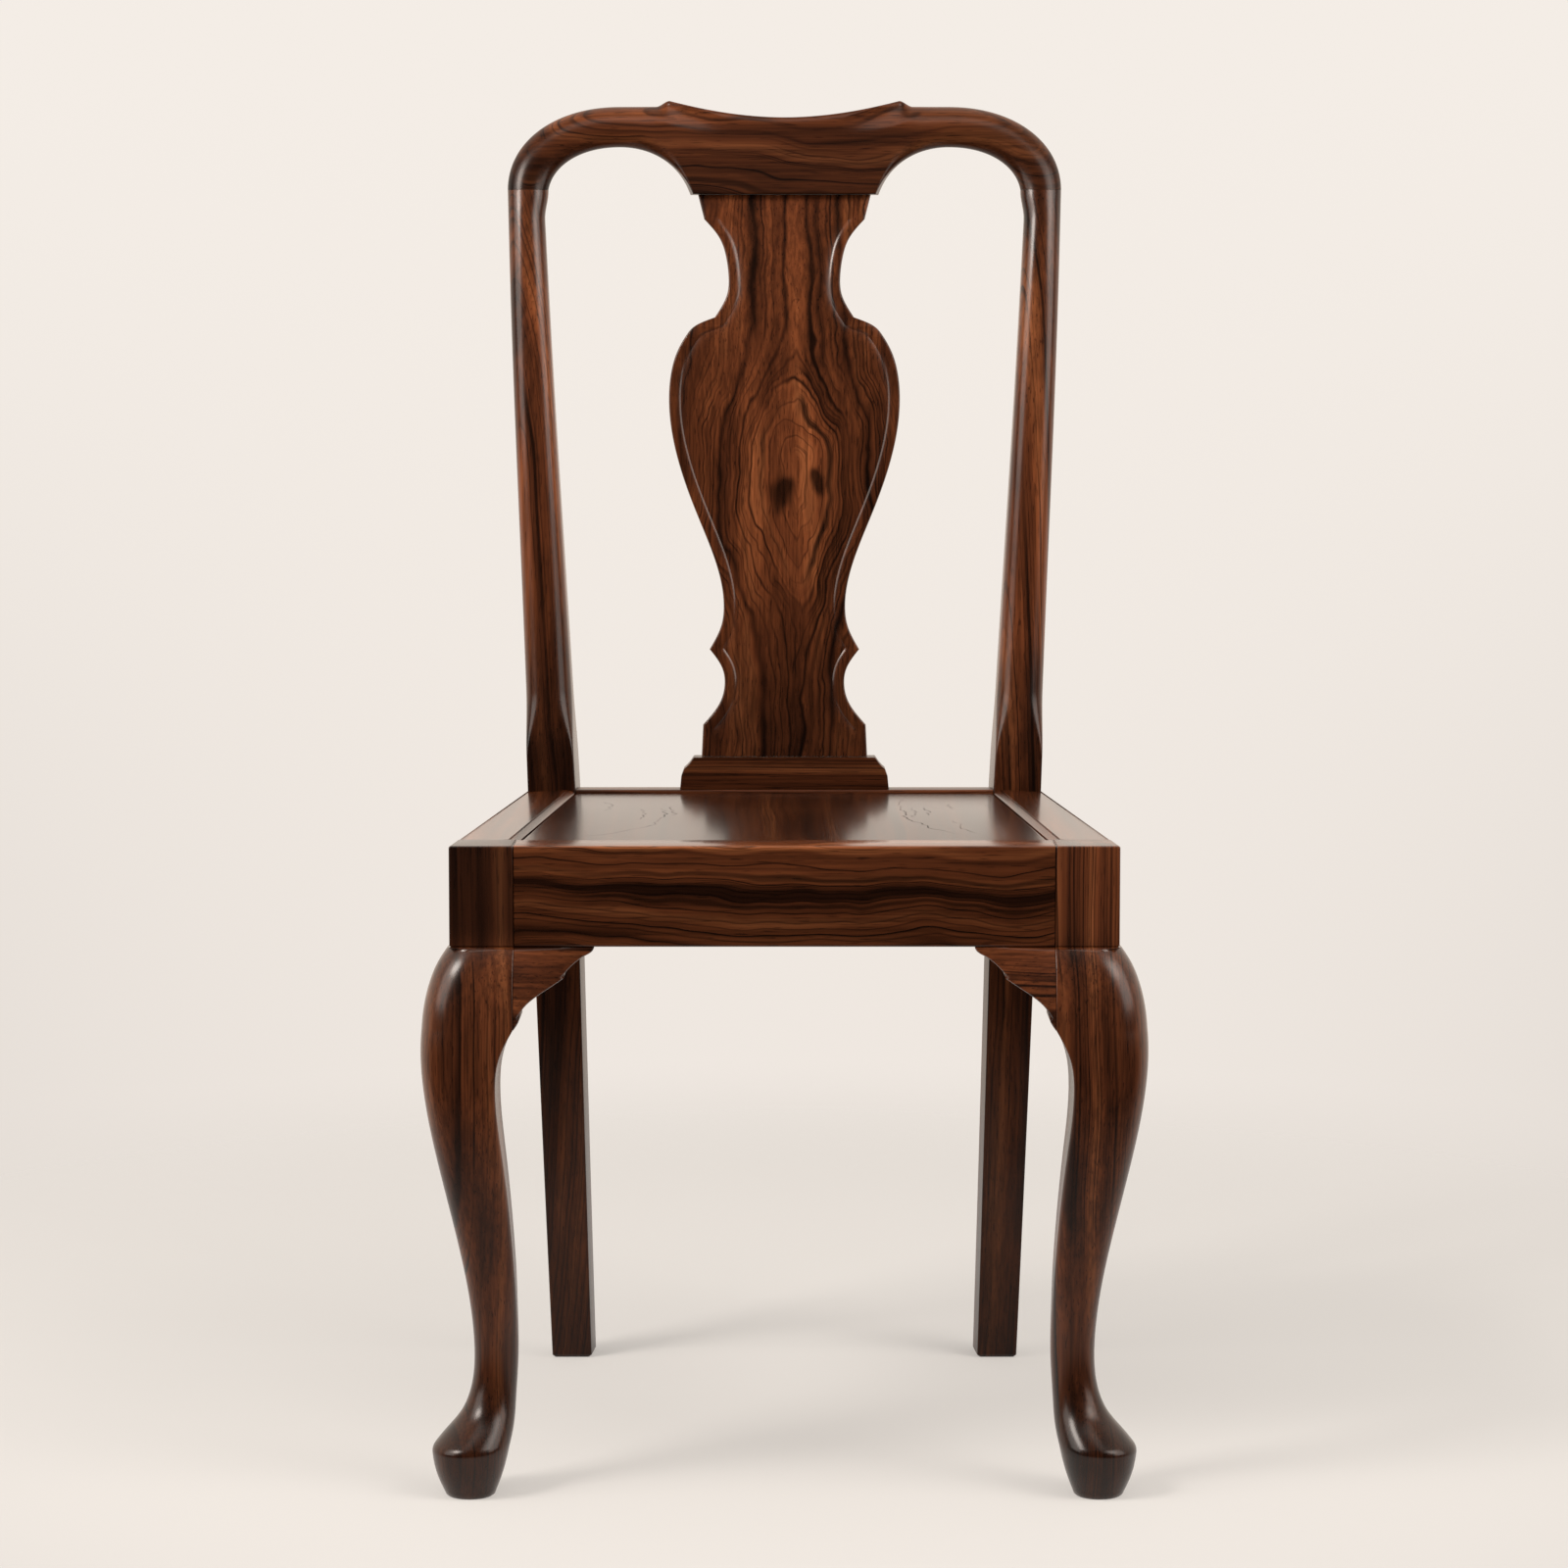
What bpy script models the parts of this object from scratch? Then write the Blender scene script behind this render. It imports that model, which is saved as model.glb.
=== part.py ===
"""Dining chair in rosewood: cabriole front legs, raked rear posts, vase splat and yoke crest rail.

The drawing frame has +X to the viewer's right, +Y to the back and +Z up, with Y = 0 on the
front rail's face and Z = 0 on the floor. Left and right are the viewer's. All sizes are metres.
The empty "chair" carries every piece and puts the origin under the middle of the chair.
"""
import math

import bmesh
import bpy
import numpy
from mathutils import Vector

# Overall sizes
BACK_HEIGHT = 1.0157
SEAT_HEIGHT = 0.467
SEAT_FRONT_WIDTH = 0.4722
SEAT_BACK_WIDTH = 0.4092
SEAT_DEPTH = 0.414

# Fits between pieces
GAP = 0.0003
MORTISE_END_GAP = 0.001
CUT_OVERSHOOT = 0.004

# Seat rails and their tenons
RAIL_HEIGHT = 0.0714
FRONT_RAIL_THICKNESS = 0.042
BACK_RAIL_THICKNESS = 0.0255
TENON_THICKNESS = 0.010
TENON_SETBACK = 0.009
TENON_TOP_SHOULDER = 0.018
TENON_BOTTOM_SHOULDER = 0.010
TENON_SPACING = 0.002
SIDE_TENON_REAR_LENGTH = 0.020
RAIL_BEVEL_WIDTH = 0.0055
RAIL_EASE = 0.0018
TENON_EASE = 0.0004

# Seat panel and the battens under it
PANEL_DROP = 0.0026
PANEL_THICKNESS = 0.014
PANEL_REVEAL = 0.0008
TONGUE_LENGTH = 0.007
TONGUE_THICKNESS = 0.005
TONGUE_DROP = 0.005
BATTEN_WIDTH = 0.032
BATTEN_HEIGHT = 0.024
BATTEN_SPREAD = 0.150
BATTEN_TENON_LENGTH = 0.010
BATTEN_TENON_SHOULDER = 0.005

# Front legs: projections are measured outward from the post's faces
FRONT_POST = 0.0456
POST_EASE = 0.0015
FOOT_RIM_HEIGHT = 0.035
FOOT_RIM_OUT = 0.0156
FOOT_RIM_IN = -0.0398
SOLE_OUT = 0.0049
SOLE_IN = -0.0288
FOOT_FLANK_SWELL = 0.0022
ANKLE_HEIGHT = 0.088
# Knee's swell: (drop below the rail, projection)
KNEE_LINE = [(0.0015, 0.0036), (0.0100, 0.0091), (0.0235, 0.0149), (0.0445, 0.0197),
             (0.0655, 0.0212), (0.0965, 0.0198), (0.1385, 0.0136)]
# Front of shank, ankle and instep: (height, projection)
SHANK_LINE = [(0.152, -0.0088), (0.109, -0.0137), (0.088, -0.0136), (0.067, -0.0092),
              (0.056, -0.0032), (0.045, 0.0070)]
# Back of the knee, below the bracket: (drop below the bracket's foot, projection)
KNEE_BACK_LINE = [(0.009, -0.0408), (0.019, -0.0366), (0.042, -0.0333), (0.093, -0.0371)]
# Back of shank, ankle and heel: (height, projection)
SHANK_BACK_LINE = [(0.162, -0.0438), (0.125, -0.0453), (0.099, -0.0456), (0.067, -0.0439),
                   (0.045, -0.0420)]
# Rounding of the leg's edges, as shares of its half width
KNEE_EDGE_ROUND = 0.90
SIDE_EDGE_ROUND = 0.10
HEEL_EDGE_ROUND = 0.16
SHANK_EDGE_ROUND = 0.42
# Between these shares of the height under the brackets the squarish shank turns round
SHANK_SQUARE_SHARE = 0.5
SHANK_ROUND_SHARE = 0.3

# Knee brackets: (along the rail, drop below the rail), from the tip to the foot on the leg
BRACKET_THICKNESS = 0.028
BRACKET_SETBACK = 0.0006
BRACKET_LENGTH = 0.0565
BRACKET_FOOT = 0.0566
BRACKET_FADE = 0.9
BRACKET_NOSE = [(0.0559, 0.0020), (0.0524, 0.0051), (0.0484, 0.0070)]
BRACKET_STEP = [(0.0409, 0.0130), (0.0343, 0.0200)]
BRACKET_HOLLOW = [(0.0350, 0.0218), (0.0268, 0.0271), (0.0154, 0.0343), (0.0075, 0.0412), (0.0031, 0.0478)]
BRACKET_SCROLL = [(0.0042, 0.0493), (0.0034, 0.0520)]

# Rear posts: leg below the seat, stile above it
POST_FOOT_SPREAD = 0.3776
POST_TOP_SPREAD = 0.4444
POST_SEAT_WIDTH = 0.038
POST_SEAT_DEPTH = 0.034
POST_FOOT_WIDTH = 0.0318
POST_FOOT_DEPTH = 0.032
POST_TOP_WIDTH = 0.0290
POST_TOP_DEPTH = 0.026
POST_TOP_FLARE = 0.0038
POST_FLARE_HEIGHT = 0.024
POST_FOOT_CHAMFER = 0.002
LAMB_TONGUE_START = 0.026
LAMB_TONGUE_END = 0.078
STILE_FRONT_ROUND = 0.86
STILE_REAR_ROUND = 0.55
STILE_BLEND_HEIGHT = 0.096
REAR_RAKE = 0.0317
REAR_RAKE_BEND = 1.6
BACK_LEAN = 0.060
BACK_LEAN_BEND = 1.7
BACK_SPOON = 0.006
STILE_TENON_RADIUS = 0.007
STILE_TENON_LENGTH = 0.016

# Crest rail, with heights measured down from the top of the yoke's peaks
CREST_JOINT_DROP = 0.0716
CREST_BOTTOM_DROP = 0.0755
CREST_ARM_DROP = 0.0045
CREST_DIP = 0.0135
CREST_DIP_BEND = 1.9
YOKE_PEAK_SPREAD = 0.185
YOKE_STEP_LENGTH = 0.011
ARM_CROWN_SPREAD = 0.264
ARM_FULLNESS = 2.12
ARCH_TOP_DROP = 0.0373
ARCH_SPRING = 0.006
ARCH_INNER_RADIUS = 0.0625
ARCH_INNER_RISE = 0.057
ARCH_DRAFT = 0.0028
CREST_ARM_DEPTH = 0.025
CREST_YOKE_DEPTH = 0.022
YOKE_FLAT_START = 0.25
YOKE_TOP_ROUND = 0.20
YOKE_BOTTOM_ROUND = 0.06
YOKE_REAR_ROUND = 0.30
# Hollow under each peak of the yoke, long toward the centre and short toward the arm
SCOOP_DEPTH = 0.0032
SCOOP_PLACE = 0.090
SCOOP_DROP = 0.0065
SCOOP_IN = 0.050
SCOOP_OUT = 0.024
SCOOP_ABOVE = 0.0075
SCOOP_BELOW = 0.0150
SCOOP_TILT = -0.28

# Splat and shoe
SPLAT_THICKNESS = 0.012
SPLAT_SETBACK = 0.006
SPLAT_RIM = 0.0077
SPLAT_GROOVE_WALL = 0.0018
SPLAT_GROOVE_DEPTH = 0.0010
SPLAT_ROLL = 0.011
SPLAT_ROLL_BEND = 2.2
SPLAT_BACK_BEVEL = 0.0025
SPLAT_PLAIN_END = 0.012
SPLAT_WIDTH = 0.1842
SPLAT_TONGUE_LENGTH = 0.012
SPLAT_TONGUE_THICKNESS = 0.007
SPLAT_TONGUE_SHOULDER = 0.008
SPLAT_TOP_WIDTH = 0.1386
SPLAT_BOTTOM_WIDTH = 0.1322
# Splat outline in smooth stretches that meet at cusps: (share of its height, share of its width)
SPLAT_BASE = (0.056, 0.705)
SPLAT_SCALLOP = [SPLAT_BASE, (0.091, 0.571), (0.125, 0.520), (0.159, 0.546), (0.190, 0.649)]
SPLAT_VASE = [(0.190, 0.649), (0.230, 0.552), (0.264, 0.527), (0.334, 0.580), (0.438, 0.773),
              (0.543, 0.942), (0.630, 1.000), (0.682, 0.982), (0.718, 0.933), (0.752, 0.840),
              (0.770, 0.738), (0.781, 0.603)]
SPLAT_NECK = [(0.781, 0.603), (0.821, 0.499), (0.856, 0.486), (0.891, 0.510), (0.926, 0.576),
              (0.956, 0.698)]
SHOE_HEIGHT = 0.0255
SHOE_LENGTH = 0.1664
SHOE_DEPTH = 0.0225
SHOE_SETBACK = 0.0015
# Shoe's moulded ends: (height below its top, shortening at each end)
SHOE_MOULDING = [(0.0150, 0.0010), (0.0092, 0.0031), (0.0072, 0.0054), (0.0045, 0.0078),
                 (0.0006, 0.0104)]
DOWEL_RADIUS = 0.0035
DOWEL_LENGTH = 0.030
DOWEL_SPREAD = 0.146

# Corner blocks and their screws
BLOCK_LEG = 0.055
BLOCK_TIP = 0.012
BLOCK_HEIGHT = 0.036
BLOCK_RAISE = 0.006
SCREW_RADIUS = 0.002
SCREW_HEAD_RADIUS = 0.0042
SCREW_HEAD_HEIGHT = 0.0026
SCREW_BITE = 0.018
SCREW_PLACE = 0.043
SCREW_WOOD = 0.010

# Finish
ROSEWOOD_COLOUR = (0.150, 0.050, 0.022)
ROSEWOOD_ROUGHNESS = 0.28
STEEL_COLOUR = (0.55, 0.54, 0.50, 1.0)
STEEL_ROUGHNESS = 0.35
PANEL_SHADE = 1.10
RAIL_SHADE = 1.00
POST_SHADE = 0.92
BLOCK_SHADE = 0.80

# Facets
CORNER_STEPS = 4
EASE_STEPS = 2
FACE_STEPS = 9
ROUND_SIDES = 14
FOOT_STEPS = 4
INSTEP_STEPS = 8
SHANK_STEPS = 12
SHANK_CROWDING = 1.6
KNEE_STEPS = 7
BRACKET_STEPS = 5
LEG_STEPS = 5
TONGUE_STEPS = 5
STILE_STEPS = 8
ARM_STEPS = 9
NECK_STEPS = 11
YOKE_STEPS = 9
ROLL_STEPS = 2
INSET_STEPS = 12
SPLAT_STEPS = (6, 24, 8)
FULL_ROUND = 0.97
SHARP_ANGLE = math.radians(38)

# Worked out from the sizes above
half_front = SEAT_FRONT_WIDTH / 2
half_back = SEAT_BACK_WIDTH / 2
side_slope = (half_front - half_back) / SEAT_DEPTH
rail_bottom = SEAT_HEIGHT - RAIL_HEIGHT
post_inner_front = half_front - FRONT_POST
post_inner_rear = half_back - POST_SEAT_WIDTH
opening_slope = (post_inner_front - post_inner_rear) / (SEAT_DEPTH - FRONT_POST)
front_tenon_length = FRONT_POST - TENON_SETBACK - TENON_THICKNESS - TENON_SPACING
back_tenon_length = POST_SEAT_WIDTH - TENON_SETBACK - TENON_THICKNESS - TENON_SPACING
tenon_low = rail_bottom + TENON_BOTTOM_SHOULDER
tenon_high = SEAT_HEIGHT - TENON_TOP_SHOULDER
panel_top = SEAT_HEIGHT - PANEL_DROP
panel_bottom = panel_top - PANEL_THICKNESS
crest_joint = BACK_HEIGHT - CREST_JOINT_DROP
crest_bottom = BACK_HEIGHT - CREST_BOTTOM_DROP
stile_height = crest_joint - SEAT_HEIGHT
shoe_top = SEAT_HEIGHT + GAP + SHOE_HEIGHT
splat_low = shoe_top + GAP
splat_high = crest_bottom - GAP


def smooth_step(low, high, at):
    """Ease from 0 to 1 as at goes from low to high."""
    share = min(max((at - low) / (high - low), 0.0), 1.0)
    return share * share * (3 - 2 * share)


def mix(start, end, share):
    return start + (end - start) * share


def smooth_curve(points):
    """Natural cubic curve through (position, value) points, as a function of the position."""
    positions, values = numpy.array(sorted(points)).T
    steps = numpy.diff(positions)
    slopes = numpy.diff(values) / steps
    count = len(positions)
    matrix = numpy.eye(count)
    change = numpy.zeros(count)
    for i in range(1, count - 1):
        matrix[i, i - 1:i + 2] = steps[i - 1], 2 * (steps[i - 1] + steps[i]), steps[i]
        change[i] = 6 * (slopes[i] - slopes[i - 1])
    bends = numpy.linalg.solve(matrix, change)

    def value(at):
        i = min(max(int(numpy.searchsorted(positions, at)) - 1, 0), count - 2)
        step = steps[i]
        before = at - positions[i]
        after = positions[i + 1] - at
        cubic = (bends[i] * after ** 3 + bends[i + 1] * before ** 3) / (6 * step)
        start = (values[i] / step - bends[i] * step / 6) * after
        end = (values[i + 1] / step - bends[i + 1] * step / 6) * before
        return float(cubic + start + end)

    return value


def round_corner(corner, start, end, steps):
    """Quarter of an ellipse from corner + start to corner + end."""
    angles = [math.pi / 2 * step / steps for step in range(steps + 1)]
    return [corner + start * (1 - math.sin(angle)) + end * (1 - math.cos(angle)) for angle in angles]


def rounded_ring(corners, shares):
    """Ring through corners, each rounded over its share of the half edges beside it."""
    ring = []
    for i, corner in enumerate(corners):
        share = min(shares[i], FULL_ROUND) / 2
        before = (corners[i - 1] - corner) * share
        after = (corners[(i + 1) % len(corners)] - corner) * share
        ring += round_corner(corner, before, after, CORNER_STEPS)
    return ring


def eased_ring(corners, radius):
    """Ring through corners, each eased with a small radius."""
    ring = []
    for i, corner in enumerate(corners):
        before = (corners[i - 1] - corner).normalized() * radius
        after = (corners[(i + 1) % len(corners)] - corner).normalized() * radius
        ring += round_corner(corner, before, after, EASE_STEPS)
    return ring


def circle_like(ring, centre, radius):
    """Round ring in the plane of the given ring, with a point for each of its points."""
    return [centre + (point - centre).normalized() * radius for point in ring]


def rosewood(name, shade):
    material = bpy.data.materials.new(name)
    material.use_nodes = True
    shader = material.node_tree.nodes["Principled BSDF"]
    shader.inputs["Base Color"].default_value = [part * shade for part in ROSEWOOD_COLOUR] + [1.0]
    shader.inputs["Roughness"].default_value = ROSEWOOD_ROUGHNESS
    return material


def steel(name):
    material = bpy.data.materials.new(name)
    material.use_nodes = True
    shader = material.node_tree.nodes["Principled BSDF"]
    shader.inputs["Base Color"].default_value = STEEL_COLOUR
    shader.inputs["Roughness"].default_value = STEEL_ROUGHNESS
    shader.inputs["Metallic"].default_value = 1.0
    return material


def add_object(name, form, material=None):
    """Object on the chair from a bmesh, with its faces turned outward."""
    bmesh.ops.recalc_face_normals(form, faces=form.faces)
    mesh = bpy.data.meshes.new(name)
    form.to_mesh(mesh)
    form.free()
    mesh.shade_smooth()
    mesh.set_sharp_from_angle(angle=SHARP_ANGLE)
    piece = bpy.data.objects.new(name, mesh)
    piece.parent = chair
    bpy.context.collection.objects.link(piece)
    if material:
        mesh.materials.append(material)
    return piece


def add_loft(form, rings):
    """Closed body through rings with the same number of points."""
    loops = [[form.verts.new(point) for point in ring] for ring in rings]
    count = len(loops[0])
    for low, high in zip(loops, loops[1:]):
        for i in range(count):
            j = (i + 1) % count
            form.faces.new((low[i], low[j], high[j], high[i]))
    form.faces.new(loops[0][::-1])
    form.faces.new(loops[-1])


def loft(name, rings, material=None):
    form = bmesh.new()
    add_loft(form, rings)
    return add_object(name, form, material)


def cutter(name, *bodies):
    """Hidden cutting tool made of one or more lofted bodies."""
    form = bmesh.new()
    for rings in bodies:
        add_loft(form, rings)
    tool = add_object(name, form)
    tool.hide_render = True
    tool.display_type = "WIRE"
    return tool


def cut(piece, tool):
    modifier = piece.modifiers.new(tool.name, "BOOLEAN")
    modifier.operation = "DIFFERENCE"
    modifier.solver = "EXACT"
    modifier.object = tool


def turned(centre, axis, profile):
    """Rings of a turned body: profile holds (distance along the axis, radius)."""
    axis = axis.normalized()
    across = axis.orthogonal().normalized()
    beside = axis.cross(across)
    rings = []
    for along, radius in profile:
        ring = []
        for i in range(ROUND_SIDES):
            angle = 2 * math.pi * i / ROUND_SIDES
            outward = across * math.cos(angle) + beside * math.sin(angle)
            ring.append(centre + axis * along + outward * radius)
        rings.append(ring)
    return rings


def rectangle_xy(low_x, high_x, low_y, high_y, z):
    return [Vector((low_x, low_y, z)), Vector((high_x, low_y, z)),
            Vector((high_x, high_y, z)), Vector((low_x, high_y, z))]


def rectangle_yz(x, low_y, high_y, low_z, high_z):
    return [Vector((x, low_y, low_z)), Vector((x, high_y, low_z)),
            Vector((x, high_y, high_z)), Vector((x, low_y, high_z))]


def mirrored(rings, side):
    return [[Vector((side * point.x, point.y, point.z)) for point in ring] for ring in rings]


# Plan of the seat and side view of the back

def outer_x(y):
    """Outer face of the side rail."""
    return half_front - side_slope * y


def opening_x(y):
    """Inner face of the side rail."""
    return post_inner_front - opening_slope * (y - FRONT_POST)


def lean(z):
    """How far the rear post's front face lies behind its place at the seat."""
    if z < rail_bottom:
        return REAR_RAKE * ((rail_bottom - z) / rail_bottom) ** REAR_RAKE_BEND
    share = max(z - SEAT_HEIGHT, 0.0) / stile_height
    spoon = math.sin(2 * math.pi * share) if share < 1 else 2 * math.pi * (share - 1)
    return BACK_LEAN * share ** BACK_LEAN_BEND + BACK_SPOON * spoon


def back_y(z):
    return SEAT_DEPTH + lean(z)


def post_outer(z):
    """Outer edge of the rear post's front face."""
    if z < SEAT_HEIGHT:
        return mix(POST_FOOT_SPREAD / 2, half_back, z / SEAT_HEIGHT)
    return mix(half_back, POST_TOP_SPREAD / 2, (z - SEAT_HEIGHT) / stile_height)


def post_width(z):
    if z < SEAT_HEIGHT:
        return mix(POST_FOOT_WIDTH, POST_SEAT_WIDTH, z / SEAT_HEIGHT)
    flare = POST_TOP_FLARE * smooth_step(crest_joint - POST_FLARE_HEIGHT, crest_joint, z)
    return mix(POST_SEAT_WIDTH, POST_TOP_WIDTH, (z - SEAT_HEIGHT) / stile_height) + flare


def post_depth(z):
    if z < SEAT_HEIGHT:
        return mix(POST_FOOT_DEPTH, POST_SEAT_DEPTH, z / SEAT_HEIGHT)
    return mix(POST_SEAT_DEPTH, POST_TOP_DEPTH, (z - SEAT_HEIGHT) / stile_height)


def post_skew(z):
    """The post's sides run with the side rails at the seat and turn square at the crest."""
    return side_slope * (1 - smooth_step(SEAT_HEIGHT, crest_joint, z))


def post_inner(y, z):
    return post_outer(z) - post_width(z) - post_skew(z) * (y - back_y(z))


# Front legs

def leg_outlines():
    """Curves for the leg's outer and inner projection, by height, above the foot's rim."""
    outer = [(rail_bottom - drop, out) for drop, out in KNEE_LINE] + SHANK_LINE
    outer.append((FOOT_RIM_HEIGHT, FOOT_RIM_OUT))
    bracket_foot = rail_bottom - BRACKET_FOOT
    inner = [(bracket_foot - drop, out) for drop, out in KNEE_BACK_LINE] + SHANK_BACK_LINE
    inner.append((bracket_foot, -FRONT_POST))
    inner.append((FOOT_RIM_HEIGHT, FOOT_RIM_IN))
    return smooth_curve(outer), smooth_curve(inner)


def leg_ring(z, out, inner, rounding):
    """Section of the right leg: square to the front rail inside, along the side rail outside."""
    bracket_foot = rail_bottom - BRACKET_FOOT
    skew = side_slope * smooth_step(SHANK_SQUARE_SHARE * bracket_foot, bracket_foot, z)

    def corner(across, forward):
        shift = skew * forward * (1 + across / FRONT_POST)
        return Vector((half_front + across + shift, -forward, z))

    knee, sides, heel = rounding
    corners = [corner(out, out), corner(inner, out), corner(inner, inner), corner(out, inner)]
    return rounded_ring(corners, (knee, sides, heel, sides))


def leg_rounding(z):
    """Shares of the half width that the knee edge, the two side edges and the heel edge take."""
    bracket_foot = rail_bottom - BRACKET_FOOT
    shank = smooth_step(bracket_foot, SHANK_SQUARE_SHARE * bracket_foot, z)
    ankle = smooth_step(SHANK_SQUARE_SHARE * bracket_foot, SHANK_ROUND_SHARE * bracket_foot, z)
    knee = mix(KNEE_EDGE_ROUND, FULL_ROUND, ankle)
    sides = mix(mix(SIDE_EDGE_ROUND, SHANK_EDGE_ROUND, shank), FULL_ROUND, ankle)
    heel = mix(mix(HEEL_EDGE_ROUND, SHANK_EDGE_ROUND, shank), FULL_ROUND, ankle)
    return knee, sides, heel


def leg_rings():
    out_at, in_at = leg_outlines()
    rings = []
    for i in range(FOOT_STEPS):
        share = math.sin(math.pi / 2 * i / FOOT_STEPS)
        swell = FOOT_FLANK_SWELL * math.sin(math.pi * share)
        out = mix(SOLE_OUT, FOOT_RIM_OUT, share) + swell
        inner = mix(SOLE_IN, FOOT_RIM_IN, share) - swell / 2
        rings.append(leg_ring(share * FOOT_RIM_HEIGHT, out, inner, (FULL_ROUND,) * 3))
    bracket_foot = rail_bottom - BRACKET_FOOT
    heights = [mix(FOOT_RIM_HEIGHT, ANKLE_HEIGHT, i / INSTEP_STEPS) for i in range(INSTEP_STEPS)]
    for i in range(SHANK_STEPS):
        share = 1 - (1 - i / SHANK_STEPS) ** SHANK_CROWDING
        heights.append(mix(ANKLE_HEIGHT, bracket_foot, share))
    for z in heights:
        rings.append(leg_ring(z, out_at(z), in_at(z), leg_rounding(z)))
    knee_top = KNEE_LINE[0][0]
    for i in range(KNEE_STEPS + 1):
        z = rail_bottom - mix(knee_top, BRACKET_FOOT, (1 - i / KNEE_STEPS) ** 2)
        rings.append(leg_ring(z, out_at(z), -FRONT_POST, leg_rounding(z)))
    eased = 2 * POST_EASE / FRONT_POST
    for z in (rail_bottom, SEAT_HEIGHT):
        rings.append(leg_ring(z, 0.0, -FRONT_POST, (eased,) * 3))
    return rings


def make_front_leg(name, side, shade):
    leg = loft(name, mirrored(leg_rings(), side), rosewood(name, shade))
    cut(leg, cutter(name + "_front_mortise", mirrored(front_tenon(GAP), side)))
    cut(leg, cutter(name + "_side_mortise", mirrored(side_front_tenon(GAP), side)))
    cut(leg, panel_groove)
    return leg


def make_bracket(name, side, under_side_rail, shade):
    """Knee bracket: flat on the rail and the leg, its face swelling to meet the knee."""
    out_at, _ = leg_outlines()
    outline = [(BRACKET_LENGTH, GAP)] + BRACKET_NOSE + BRACKET_STEP + BRACKET_HOLLOW + BRACKET_SCROLL
    knee_start = KNEE_LINE[0][0]

    def place(along, drop, back):
        """Point at a distance along the rail, below it and behind its face."""
        z = rail_bottom - drop
        if under_side_rail:
            y = FRONT_POST + along
            return Vector((side * (outer_x(y) - back), y, z))
        return Vector((side * (post_inner_front - along), back, z))

    def face(along, drop):
        fade = max(1 - along / BRACKET_LENGTH, 0.0) ** BRACKET_FADE
        swell = out_at(rail_bottom - max(drop, knee_start)) * min(drop / knee_start, 1.0)
        return place(along, drop, BRACKET_SETBACK - swell * fade)

    form = bmesh.new()
    rows = []
    for along, drop in outline:
        shares = [i / BRACKET_STEPS for i in range(BRACKET_STEPS + 1)]
        rows.append([form.verts.new(face(mix(GAP, along, share), drop)) for share in shares])
    foot = form.verts.new(face(GAP, BRACKET_FOOT))
    back = [form.verts.new(place(along, drop, BRACKET_THICKNESS)) for along, drop in outline]
    back_foot = form.verts.new(place(GAP, BRACKET_FOOT, BRACKET_THICKNESS))
    back_corner = form.verts.new(place(GAP, GAP, BRACKET_THICKNESS))
    for i in range(len(rows) - 1):
        for j in range(BRACKET_STEPS):
            form.faces.new((rows[i][j], rows[i][j + 1], rows[i + 1][j + 1], rows[i + 1][j]))
        form.faces.new((rows[i][-1], back[i], back[i + 1], rows[i + 1][-1]))
    for j in range(BRACKET_STEPS):
        form.faces.new((rows[-1][j], rows[-1][j + 1], foot))
    form.faces.new((rows[-1][-1], back[-1], back_foot, foot))
    form.faces.new(back + [back_foot, back_corner])
    form.faces.new(rows[0] + [back[0], back_corner])
    form.faces.new([row[0] for row in rows] + [foot, back_foot, back_corner])
    return add_object(name, form, rosewood(name, shade))


# Seat frame

def front_tenon(clearance=0.0):
    """Right tenon of the front rail, or the mortise for it."""
    end = MORTISE_END_GAP if clearance else 0.0
    start = post_inner_front - (CUT_OVERSHOOT if clearance else GAP)
    limits = (TENON_SETBACK - clearance, TENON_SETBACK + TENON_THICKNESS + clearance,
              tenon_low - clearance, tenon_high + clearance)
    stations = (start, post_inner_front + front_tenon_length + end)
    return [eased_ring(rectangle_yz(x, *limits), TENON_EASE) for x in stations]


def side_tenon_ring(y, clearance):
    """Section of the side rail's tenon, which runs along the rail's outer face."""
    outer = outer_x(y) - TENON_SETBACK + clearance
    inner = outer - TENON_THICKNESS - 2 * clearance
    low = tenon_low - clearance
    high = tenon_high + clearance
    middle = (outer + inner) / 2
    corners = [Vector((outer, y, low)), Vector((outer, y, high)), Vector((middle, y, high)),
               Vector((inner, y, high)), Vector((inner, y, low))]
    return eased_ring(corners, TENON_EASE)


def side_front_tenon(clearance=0.0):
    end = MORTISE_END_GAP if clearance else 0.0
    start = FRONT_POST + (CUT_OVERSHOOT if clearance else GAP)
    stations = (FRONT_POST - front_tenon_length - end, start)
    return [side_tenon_ring(y, clearance) for y in stations]


def side_rear_tenon(clearance=0.0):
    end = MORTISE_END_GAP if clearance else 0.0
    start = SEAT_DEPTH - (CUT_OVERSHOOT if clearance else GAP)
    stations = (start, SEAT_DEPTH + SIDE_TENON_REAR_LENGTH + end)
    return [side_tenon_ring(y, clearance) for y in stations]


def side_rail_ring(y):
    """Section of the side rail, bevelled on its inner top edge and flush with the leaning post."""
    share = (y - FRONT_POST) / (SEAT_DEPTH - FRONT_POST)
    tuck = share * (half_back - post_outer(rail_bottom))
    inner = opening_x(y)
    corners = [Vector((outer_x(y) - tuck, y, rail_bottom)), Vector((outer_x(y), y, SEAT_HEIGHT)),
               Vector((inner + RAIL_BEVEL_WIDTH, y, SEAT_HEIGHT)), Vector((inner, y, panel_top)),
               Vector((inner, y, rail_bottom))]
    return eased_ring(corners, RAIL_EASE)


def make_side_rail(name, side, shade):
    front = FRONT_POST + GAP
    rear = SEAT_DEPTH - GAP
    rings = side_front_tenon() + [side_rail_ring(front), side_rail_ring(rear)] + side_rear_tenon()
    rail = loft(name, mirrored(rings, side), rosewood(name, shade))
    cut(rail, panel_groove)
    return rail


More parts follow.
